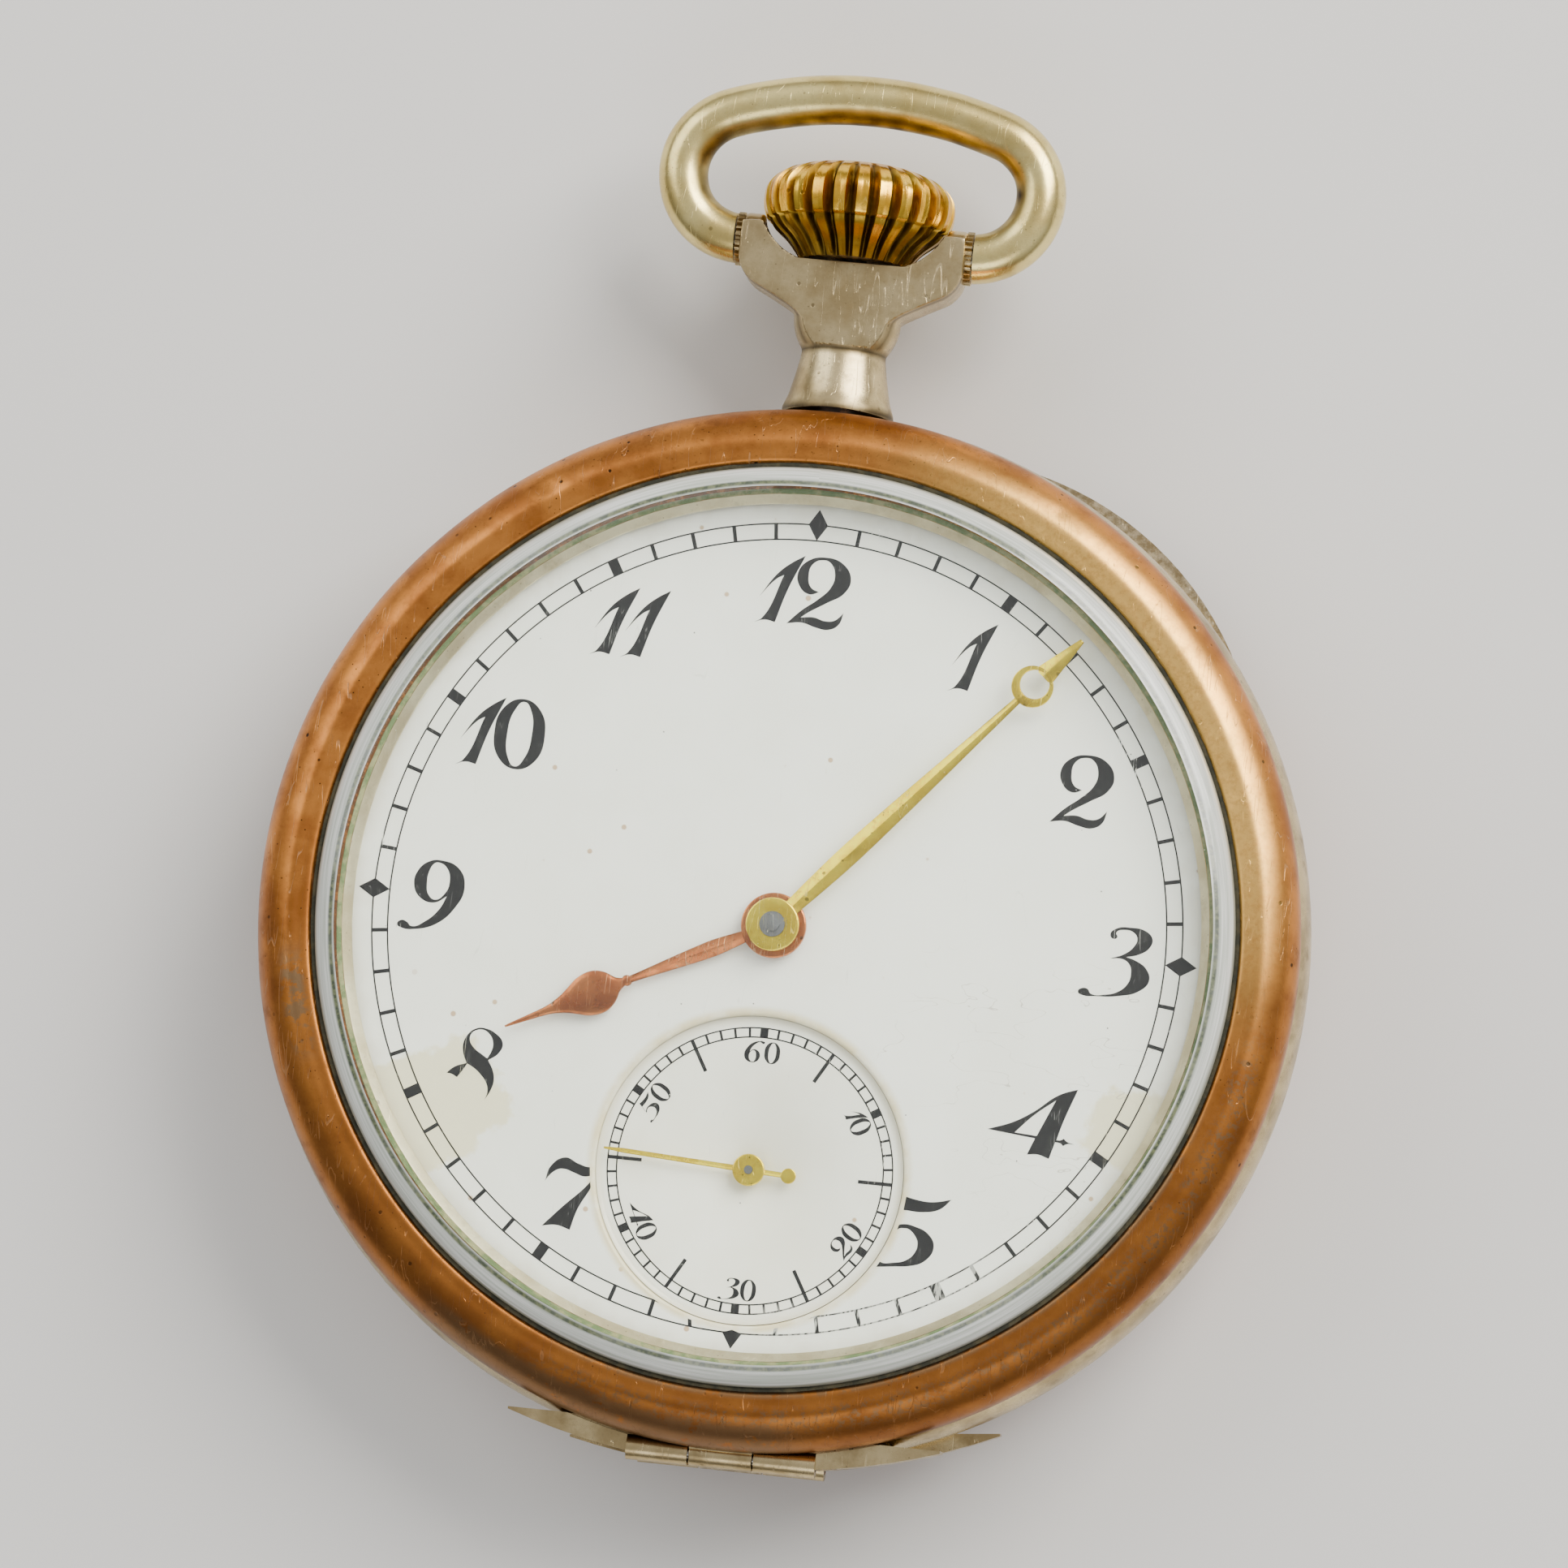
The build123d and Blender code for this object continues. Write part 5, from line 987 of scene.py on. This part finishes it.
def make_print():
    sunk = (SECONDS_CENTRE, SECONDS_RADIUS + 0.24)
    track = [strip(radius - 0.035, radius + 0.035) for radius in (TRACK_INNER, TRACK_OUTER)]
    for minute in range(60):
        angle = 6.0 * minute
        if minute % 15:
            width = 0.18 if minute % 5 else 0.5
            track.append(mark(angle, TRACK_INNER, TRACK_OUTER, width))
    printed("minute_track", joined(*track), dial_height, sunk)
    printed("quarter_diamonds", joined(*(diamond(angle) for angle in (0, 90, 180, 270))),
            dial_height, sunk)

    loops = []
    for hour, place in NUMERAL_PLACES.items():
        loops += lettered(str(hour), NUMERAL_HEIGHT, place)
    printed("hour_numerals", filled(loops), dial_height, sunk)

    def flat(x, y):
        return SECONDS_TOP

    track = [strip(radius - 0.032, radius + 0.032, SECONDS_CENTRE, 240)
             for radius in (SECONDS_TRACK_INNER, SECONDS_TRACK_OUTER)]
    for second in range(60):
        width = {0: 0.38, 5: 0.17}.get(second % 10, 0.11)
        start = 5.15 if second % 10 == 5 else SECONDS_TRACK_INNER
        track.append(mark(6.0 * second, start, SECONDS_TRACK_OUTER, width, SECONDS_CENTRE))
    printed("seconds_track", joined(*track), flat)
    loops = []
    for second in (10, 20, 30, 40, 50, 60):
        angle = 6.0 * second
        turn = angle if math.cos(math.radians(angle)) > 0 else angle - 180
        place = clock(5.62, angle, SECONDS_CENTRE)
        loops += lettered(str(second), SECONDS_NUMERAL_HEIGHT, place, turn % 360)
    printed("seconds_numerals", filled(loops), flat)


# ---- Hands ----
def turned_hand(shape, centre, angle):
    """A hand made along +Y, turned clockwise about its arbor."""
    turn = math.radians(-angle)
    c, s = math.cos(turn), math.sin(turn)
    points = [(centre[0] + c * x - s * y, centre[1] + s * x + c * y, z) for x, y, z in shape[0]]
    return points, shape[1]


def blade(stations, bottom, across):
    """Loft along +Y. A station is (distance, half width, edge height, rise of its middle);
    across gives the cross-section's (side, share of the rise) from one edge to the other."""
    rings = []
    for y, half, edge, rise in stations:
        top = [(side * half, y, bottom + edge + share * rise) for side, share in across]
        rings.append(top + [(half, y, bottom), (-half, y, bottom)])
    points, faces = skin(rings)
    count = len(rings[0])
    last = len(points) - count
    return points, faces + [tuple(range(count)), tuple(range(last, last + count))]


RIDGED = [(-1, 0), (-0.94, 0.12), (-0.06, 0.96), (0, 1), (0.06, 0.96), (0.94, 0.12), (1, 0)]
DOMED_ANGLES = [math.radians(-90 + 15 * step) for step in range(1, 12)]
DOMED = [(-1, 0), *((math.sin(a), math.cos(a)**0.8) for a in DOMED_ANGLES), (1, 0)]


def hub(radius, bore, bottom, top, edge=0.08, dish=0.0):
    """Round boss with an eased edge and a shallow dish around its bore."""
    return lathe(rounded([(bore, bottom, 0), (radius, bottom, 0.02), (radius, top, edge),
                          (bore + 0.25, top - dish, 0.04), (bore, top - dish, 0)]), 96)


def eccentric_ring(radius, hole, y, hole_y, bottom, top):
    """Ring whose hole sits off its centre, with eased edges."""
    rings = []
    for share, height in ((0, bottom), (0, top - 0.05), (0.06, top - 0.01), (0.14, top),
                          (0.86, top), (0.94, top - 0.01), (1, top - 0.05), (1, bottom)):
        centre = y + (hole_y - y) * share
        size = radius + (hole - radius) * share
        rings.append([(px, py, height) for px, py in arc((0, centre), size, 0, 360, 96)[:-1]])
    return skin(rings, closed_rings=True)


def hand_angle(node, body_axis):
    """Clockwise angle of a CAD hand: the direction of its farthest point from its arbor."""
    spots = [v.co.to_2d() / MM - body_axis.to_2d() for v in frame["nodes"][node].data.vertices]
    tip = max(spots, key=lambda spot: spot.length)
    return math.degrees(math.atan2(tip.x, tip.y)) % 360


def make_hands():
    centre = AXIS["minute_turn"].to_2d()
    minute = hand_angle("minute_hand", AXIS["minute_turn"])
    hour = hand_angle("hour_hand", AXIS["hour_turn"])
    second = hand_angle("seconds_hand", AXIS["fourth_turn"])

    floor = low("minute_hand").z + 0.05
    body = through([(0.9, 0.36, 0.05, 0.14), (2.5, 0.44, 0.05, 0.15), (5.0, 0.5, 0.05, 0.16),
                    (8.5, 0.42, 0.05, 0.15), (12.5, 0.28, 0.05, 0.12), (15.75, 0.17, 0.05, 0.1)], 4)
    tip = [(17.28, 0.34, 0.05, 0.1), (17.5, 0.5, 0.05, 0.12), (18.4, 0.35, 0.05, 0.1),
           (19.7, 0.13, 0.05, 0.05), (19.8, 0.11, 0.04, 0.02)]
    hand = joined(blade(body, floor, RIDGED), blade(tip, floor, RIDGED),
                  eccentric_ring(1.0, 0.695, 16.6, 16.75, floor, floor + 0.16),
                  hub(1.265, 0.61, floor - 0.05, high("minute_hand").z, 0.12))
    side = Vector(clock(1.0, minute + 90))

    def facet(x, y, z):
        """The facet on the far side of the ridge takes less light."""
        across = x * side.x + y * side.y
        return 1.0 if 0.03 < across < 0.52 and math.hypot(x, y) > 1.4 else 0.0

    piece("minute_hand_gilt", turned_hand(hand, centre, minute), FINISH["gilt_hand"],
          "center_arbor", ["minute_hand"], sharp=20, paint={"facet": facet})

    floor = low("hour_hand").z + 0.05
    leaf = through([(1.3, 0.26, 0.05, 0.12), (2.2, 0.34, 0.05, 0.14), (3.2, 0.39, 0.05, 0.15),
                    (5.0, 0.3, 0.05, 0.13), (6.7, 0.19, 0.05, 0.1), (7.3, 0.165, 0.05, 0.1)], 4)
    collar = [(7.25, 0.2, 0.05, 0.1), (7.35, 0.26, 0.05, 0.12), (7.5, 0.26, 0.05, 0.12),
              (7.6, 0.19, 0.05, 0.1)]
    pear = through([(7.55, 0.17, 0.05, 0.06), (7.9, 0.36, 0.05, 0.12), (8.25, 0.74, 0.05, 0.16),
                    (8.7, 0.99, 0.05, 0.17), (9.17, 1.04, 0.05, 0.17), (9.7, 0.92, 0.05, 0.17),
                    (10.2, 0.66, 0.05, 0.16), (10.7, 0.42, 0.05, 0.14), (11.4, 0.22, 0.05, 0.11),
                    (12.4, 0.13, 0.05, 0.08), (13.6, 0.05, 0.03, 0.02)], 5)
    hand = joined(blade(leaf, floor, RIDGED), blade(collar, floor, DOMED),
                  blade(pear, floor, DOMED),
                  hub(1.55, 0.96, floor - 0.05, high("hour_hand").z, 0.1))
    side_of_hour = Vector(clock(1.0, hour + 90))

    def shade(x, y, z):
        """Painted shade: the lower half of the leaf and pear is darker."""
        across = -(x * side_of_hour.x + y * side_of_hour.y)
        return min(1.0, max(0.0, across / 0.7)) if math.hypot(x, y) > 1.7 else 0.0

    piece("hour_hand_rose", turned_hand(hand, centre, hour), FINISH["rose_hand"], "hour_wheel",
          ["hour_hand"], sharp=24, paint={"facet": shade})

    floor = low("seconds_hand").z + 0.08
    needle = [(-1.9, 0.125, 0.03, 0.05), (1.0, 0.135, 0.03, 0.06), (6.0, 0.115, 0.03, 0.05),
              (6.96, 0.05, 0.02, 0.02)]
    tail = lathe(rounded([(0.0, floor, 0), (0.365, floor, 0), (0.365, floor + 0.1, 0.04),
                          (0.0, floor + 0.1, 0)]), 48, (0.0, -1.9))
    hand = joined(blade(needle, floor, RIDGED), tail,
                  hub(0.76, 0.21, floor - 0.08, high("seconds_hand").z, 0.08, 0.02))
    piece("seconds_hand_gilt", turned_hand(hand, SECONDS_CENTRE, second), FINISH["gilt_hand"],
          "fourth_arbor", ["seconds_hand"], sharp=24)


# ---- Crown, pendant and bow ----
YOKE_FACE = 8.15                # height of the yoke's filed face, over the stem's bore
FLUTES = 26
FLUTE_STEPS = 20                # points around each flute


def make_crown():
    """Onion crown: rounded ribs with deep grooves, a step line low on the ribs, a smooth cap."""
    bottom, top, wide = CROWN_LOW_Y, CROWN_TOP_Y, CROWN_RADIUS
    # (height along Y, crest radius, groove depth)
    side = through([(bottom, 2.62, 0.16), (bottom + 0.45, 2.95, 0.28), (bottom + 0.9, 3.35, 0.38),
                    (bottom + 1.4, 3.95, 0.45), (bottom + 1.78, 4.24, 0.48)], 5)[:-1]
    step = [(bottom + 1.78, 4.24, 0.48), (bottom + 1.82, 4.36, 0.52)]
    belly = through([(bottom + 1.86, 4.4, 0.54), (bottom + 2.35, 4.58, 0.58),
                     (bottom + 2.85, wide, 0.6), (bottom + 3.4, 4.56, 0.55),
                     (bottom + 3.85, 4.25, 0.45), (bottom + 4.2, 3.8, 0.32),
                     (bottom + 4.45, 3.2, 0.14), (top - 0.1, 2.6, 0.0), (top - 0.04, 1.6, 0.0),
                     (top, 0.6, 0.0), (top, 0.0, 0.0)], 5)
    rings, count = [], FLUTES * FLUTE_STEPS
    for y, crest, depth in side + step + belly + [(bottom, 0.0, 0.0)]:
        ring = []
        for index in range(count):
            phase = (index / FLUTE_STEPS) % 1.0
            groove = max(0.0, 1 - abs(phase - 0.5) / 0.24)
            radius = crest - depth * (1 - (1 - groove)**2) - 0.06 * depth * (2 * phase - 1)**2
            turn = FULL_TURN * index / count
            ring.append((radius * math.cos(turn), y, STEM_Z + radius * math.sin(turn)))
        rings.append(ring)
    shape = skin(rings, closed_rings=True)

    def soil(x, y, z):
        """Dirt packed in the grooves; the ribs below the step are darker all over, most towards the
        base.
        """
        turn = math.atan2(z - STEM_Z, x) / FULL_TURN * FLUTES
        depth = max(0.0, 1 - abs(turn % 1.0 - 0.5) / 0.27)**0.6
        if y > bottom + 1.8:
            return min(1.0, depth) * (y < top - 0.35)
        return min(1.0, 0.4 + 0.25 * (bottom + 1.8 - y) / 1.8 + depth)

    piece("winding_crown", shape, FINISH["gilt_crown"], "stem", ["crown"], sharp=40,
          paint={"grime": soil})


def merged(shapes, voxel, smoothing=6):
    """One skin over overlapping solids, with its inner corners softened."""
    scratch = temporary(joined(*shapes))
    remesh = scratch.modifiers.new("merge", "REMESH")
    remesh.mode, remesh.voxel_size, remesh.adaptivity = "VOXEL", voxel, 0.0
    smooth = scratch.modifiers.new("soften", "SMOOTH")
    smooth.factor, smooth.iterations = 0.5, smoothing
    return baked(scratch)


def make_pendant():
    """Neck, ball and yoke in one casting, filed flat on the yoke's face and bored for the stem."""
    neck = [(0.0, 23.6), (2.72, 23.6), (2.7, 25.3), (2.5, 25.8)]
    neck += through([(2.45, 25.95), (2.3, 26.6), (2.16, 27.25), (2.05, 27.9), (2.0, 28.2)], 4)
    ball = arc((0.0, 0.0), 2.6, -48, 44, 14)
    neck += [(x, 29.8 + y) for x, y in ball] + [(1.2, 32.0), (0.0, 32.0)]
    inner = through([(2.62, SEAT_FLOOR), (3.3, 32.75), (3.95, 33.35), (4.42, 34.1)], 4)
    outer = through([(5.4, 34.0), (5.42, 32.2), (4.9, 31.25), (3.9, 30.68), (2.6, 29.95),
                     (1.6, 29.1)], 4)
    right = inner + outer
    outline = right + [(-x, y) for x, y in reversed(right)]
    ears = [along_x(tube(1.3, 0.05, *sorted((side * 4.43, side * 5.4)), 40, 0.12), PIVOT_Y, STEM_Z)
            for side in (-1, 1)]
    shape = merged([along_y(lathe(neck, 96)), prism(outline, 5.3, YOKE_FACE + 0.04), *ears], 0.11)
    seat, bush = 1.31, 0.92
    points = []
    case_edge = high("middle_case").x - 0.12
    for x, y, z in shape[0]:
        filed = YOKE_FACE if y > 28.3 else BEZEL_TOP
        spot = Vector((x, y, min(z, filed)))
        spot.z = max(spot.z, 5.32) if y > 31.4 else spot.z
        if spot.xy.length < case_edge:              # the foot stops at the case's round band
            spot.y = math.sqrt(max(case_edge**2 - x * x, 0.0))
        points.append(tuple(spot))
    cutter = joined(along_y(tube(seat, 0.0005, 22.0, 36.0, 64)),
                    along_x(tube(bush, 0.0005, -7.0, 7.0, 48), PIVOT_Y, STEM_Z))
    body = temporary((points, shape[1]))
    drill = temporary(cutter)
    drill.hide_render = True
    hole = body.modifiers.new("bores", "BOOLEAN")
    hole.operation, hole.solver, hole.object = "DIFFERENCE", "EXACT", drill
    hole.use_self = True
    shape = baked(body)
    bpy.data.objects.remove(drill)

    def soil(x, y, z):
        """Darker at the foot; painted shade under the ball and in a band below the yoke's filed face,
        where its arms leave the ball.
        """
        foot = max(0.0, 1 - abs(y - 25.15) / 0.4)
        # Painted shade in the crease under the ball.
        throat = max(0.0, 1 - abs(y - 28.1) / 0.3) * 0.9
        # Painted shade along the yoke's rounded edges just below its filed face.
        filed = max(0.0, 1 - abs(z - (YOKE_FACE - 0.4)) / 0.42) * 0.75 * (y > 28.3)
        return min(1.0, max(foot, throat, filed))

    piece("pendant_yoke", shape, FINISH["nickel_silver"], "case", ["pendant"],
          sharp=38, paint={"grime": soil})


SEAT_FLOOR = PIVOT_Y - 0.9
BOW_SIDE_RADIUS, BOW_END_X = 3.15, 5.8


def bow_line():
    """Middle line of the bow from its right end, over the top, to its left end."""
    wire = (high("bow").z - low("bow").z) / 2
    half_width, top = high("bow").x - wire, high("bow").y - wire
    side_x, side_y = half_width - BOW_SIDE_RADIUS, PIVOT_Y + BOW_SIDE_RADIUS
    rise = top - side_y
    top_radius = (side_x**2 + rise**2 - BOW_SIDE_RADIUS**2) / (2 * (rise - BOW_SIDE_RADIUS))
    top_y = top - top_radius
    turn = math.degrees(math.atan2(side_y - top_y, side_x))
    start = -math.degrees(math.acos((BOW_END_X - 0.5 - side_x) / BOW_SIDE_RADIUS))
    right = arc((side_x, side_y), BOW_SIDE_RADIUS, start, turn, 40)
    over = arc((0.0, top_y), top_radius, turn, 180 - turn, 56)
    left = [(-x, y) for x, y in reversed(right)]
    return right + over[1:-1] + left, wire


def make_bow():
    """Round wire bent by hand, its ends filed flat against the pendant's ears."""
    line, wire = bow_line()
    rings = []
    for index, (x, y) in enumerate(line):
        before, after = Vector(line[max(index - 1, 0)]), Vector(line[min(index + 1, len(line) - 1)])
        ahead = (after - before).normalized()
        out = Vector((ahead.y, -ahead.x))
        ring = []
        for step in range(64):
            turn = FULL_TURN * step / 64
            bulge = wire * (1 - 0.02 * (1 + noise.noise(Vector((x, y, turn)) * 0.5)))
            ring.append((x + out.x * bulge * math.cos(turn), y + out.y * bulge * math.cos(turn),
                         STEM_Z + bulge * math.sin(turn)))
        rings.append(ring)
    points, faces = skin(rings)
    last = len(points) - 64
    faces += [tuple(range(64)), tuple(range(last, last + 64))]
    body = temporary((points, faces))
    work = bmesh.new()
    work.from_mesh(body.data)
    for side in (-1, 1):                            # file both ends flat, beside the ears only
        end = {f for f in work.faces if f.calc_center_median().y < PIVOT_Y + 2.2
               and f.calc_center_median().x * side > 0}
        geometry = [part for parts in (work.verts, work.edges) for part in parts
                    if end.intersection(part.link_faces)]
        geometry += [face for face in work.faces if face in end]
        bmesh.ops.bisect_plane(work, geom=geometry, plane_co=(side * BOW_END_X, 0, 0),
                               plane_no=(-side, 0, 0), clear_outer=True)
        rim = [e for e in work.edges if e.is_boundary]
        bmesh.ops.holes_fill(work, edges=rim, sides=0)
    work.to_mesh(body.data)
    work.free()
    shape = baked(body)
    inside = Vector((0.0, PIVOT_Y + 3.0))

    def soil(x, y, z):
        """Darker along the wire's inner side: partly grime, partly painted shade."""
        flat = Vector((x, y))
        near = min(line, key=lambda spot: (flat - Vector(spot)).length)
        inward = (inside - Vector(near)).normalized()
        facing = (flat - Vector(near)).dot(inward) / wire
        patchy = 0.75 + 0.5 * noise.noise(Vector((x, y, z)) * 1.3)
        # Partly painted shade: the side of the wire facing into the bow is darkened, in patches.
        return max(0.0, min(1.0, (facing - 0.3) / 0.5)) * patchy

    piece("bow_wire", shape, FINISH["bow_nickel"], "bow", ["bow"], sharp=45,
          paint={"grime": soil})


# ---- CAD nodes that keep their shape ----
SLOT_FINISH = {"plate_gilt": "plate", "enamel": "dial", "enamel_cream": "seconds"}
NODE_FINISH = {"barrel_bridge": "bridge", "train_bridge": "bridge", "balance_cock": "bridge",
               "ratchet_wheel": "brushed_steel", "crown_wheel": "brushed_steel",
               "bow_bushings": "nickel_silver", "back_cover": "cover"}


def finish_cad_nodes():
    """Give each carried-over CAD node the finish of its material slot, or its own."""
    for name, node in frame["nodes"].items():
        slot = node.data.materials[0].name.split(".")[0]
        finish = NODE_FINISH.get(name, SLOT_FINISH.get(slot, slot))
        if not node.hide_render:
            node.data.materials.clear()
            node.data.materials.append(FINISH[finish])


# ---- Studio ----
CAMERA_TOWARDS = (0.108, -0.103, 1.0)       # from the watch to the camera
CAMERA_DISTANCE, CAMERA_LENS, CAMERA_ROLL = 370.0, 179.3, 6.12
AIM_RIGHT, AIM_UP = 0.41, 6.775             # what the picture is centred on, from the dial's middle


def make_camera():
    """Long lens, nearly square on to the dial, with 12 o'clock a little right of the top."""
    back = Vector(CAMERA_TOWARDS).normalized()
    roll = math.radians(CAMERA_ROLL)
    right = Vector((-math.sin(roll), math.cos(roll), 0.0)).cross(back).normalized()
    up = back.cross(right)
    aim = Vector((0.0, 0.0, DIAL_TOP)) + right * AIM_RIGHT + up * AIM_UP
    data = bpy.data.cameras.new("camera")
    data.lens, data.sensor_width = CAMERA_LENS, 36.0
    data.clip_start, data.clip_end = 0.01, 10.0
    camera = bpy.data.objects.new("camera", data)
    turn = Matrix((right, up, back)).transposed().to_4x4()
    camera.matrix_world = Matrix.Translation((aim + back * CAMERA_DISTANCE) * MM) @ turn
    bpy.context.scene.collection.objects.link(camera)
    bpy.context.scene.camera = camera


DARK_SIDE = (-0.35, -0.9, 0.0)              # the studio is darker below and to the left


def lamp(name, place, size, power, colour=(1.0, 1.0, 1.0)):
    """Soft rectangular lamp at a place in metres, facing the watch."""
    data = bpy.data.lights.new(name, "AREA")
    data.shape, (data.size, data.size_y) = "RECTANGLE", size
    data.energy, data.color = power, colour
    light = bpy.data.objects.new(name, data)
    light.location = place
    light.rotation_mode = "QUATERNION"
    light.rotation_quaternion = Vector(place).to_track_quat("Z", "Y")
    bpy.context.scene.collection.objects.link(light)


def make_studio():
    mesh = bpy.data.meshes.new("floor")
    mesh.from_pydata([(-3, -3, 0), (3, -3, 0), (3, 3, 0), (-3, 3, 0)], [], [(0, 1, 2, 3)])
    mesh.materials.append(floor_finish())
    floor = bpy.data.objects.new("floor", mesh)
    bpy.context.scene.collection.objects.link(floor)
    lamp("key", (0.34, 0.36, 0.42), (0.42, 0.42), 6.0, (1.0, 0.97, 0.92))
    lamp("fill", (-0.5, 0.30, 0.45), (0.5, 0.5), 1.8, (0.97, 0.99, 1.0))
    lamp("front", (0.10, -0.50, 0.55), (0.5, 0.3), 1.0)
    world = bpy.data.worlds.new("studio")
    bpy.context.scene.world = world
    world.use_nodes = True
    nodes, links = world.node_tree.nodes, world.node_tree.links
    height = nodes.new("ShaderNodeSeparateXYZ")
    links.new(nodes.new("ShaderNodeTexCoord").outputs["Generated"], height.inputs[0])
    ramp = nodes.new("ShaderNodeValToRGB")
    links.new(height.outputs["Z"], ramp.inputs[0])
    stops = ((0.0, 0.16), (0.25, 0.34), (0.62, 0.75), (1.0, 0.62))
    while len(ramp.color_ramp.elements) < len(stops):
        ramp.color_ramp.elements.new(0.5)
    for element, (place, level) in zip(ramp.color_ramp.elements, stops):
        element.position, element.color = place, (level, level, level * 1.02, 1.0)
    links.new(ramp.outputs[0], nodes["Background"].inputs["Color"])
    side = nodes.new("ShaderNodeVectorMath")
    side.operation, side.inputs[1].default_value = "DOT_PRODUCT", DARK_SIDE
    links.new(height.inputs[0].links[0].from_socket, side.inputs[0])
    level = nodes.new("ShaderNodeMapRange")
    links.new(side.outputs["Value"], level.inputs["Value"])
    for socket, value in (("From Min", -0.8), ("From Max", 0.8), ("To Min", 1.35), ("To Max", 0.6)):
        level.inputs[socket].default_value = value
    links.new(level.outputs[0], nodes["Background"].inputs["Strength"])


make_camera()
make_studio()
make_bezel()
make_crystal()
make_dial()
make_seconds_dial()
make_print()
make_hands()
make_crown()
make_pendant()
make_bow()
finish_cad_nodes()
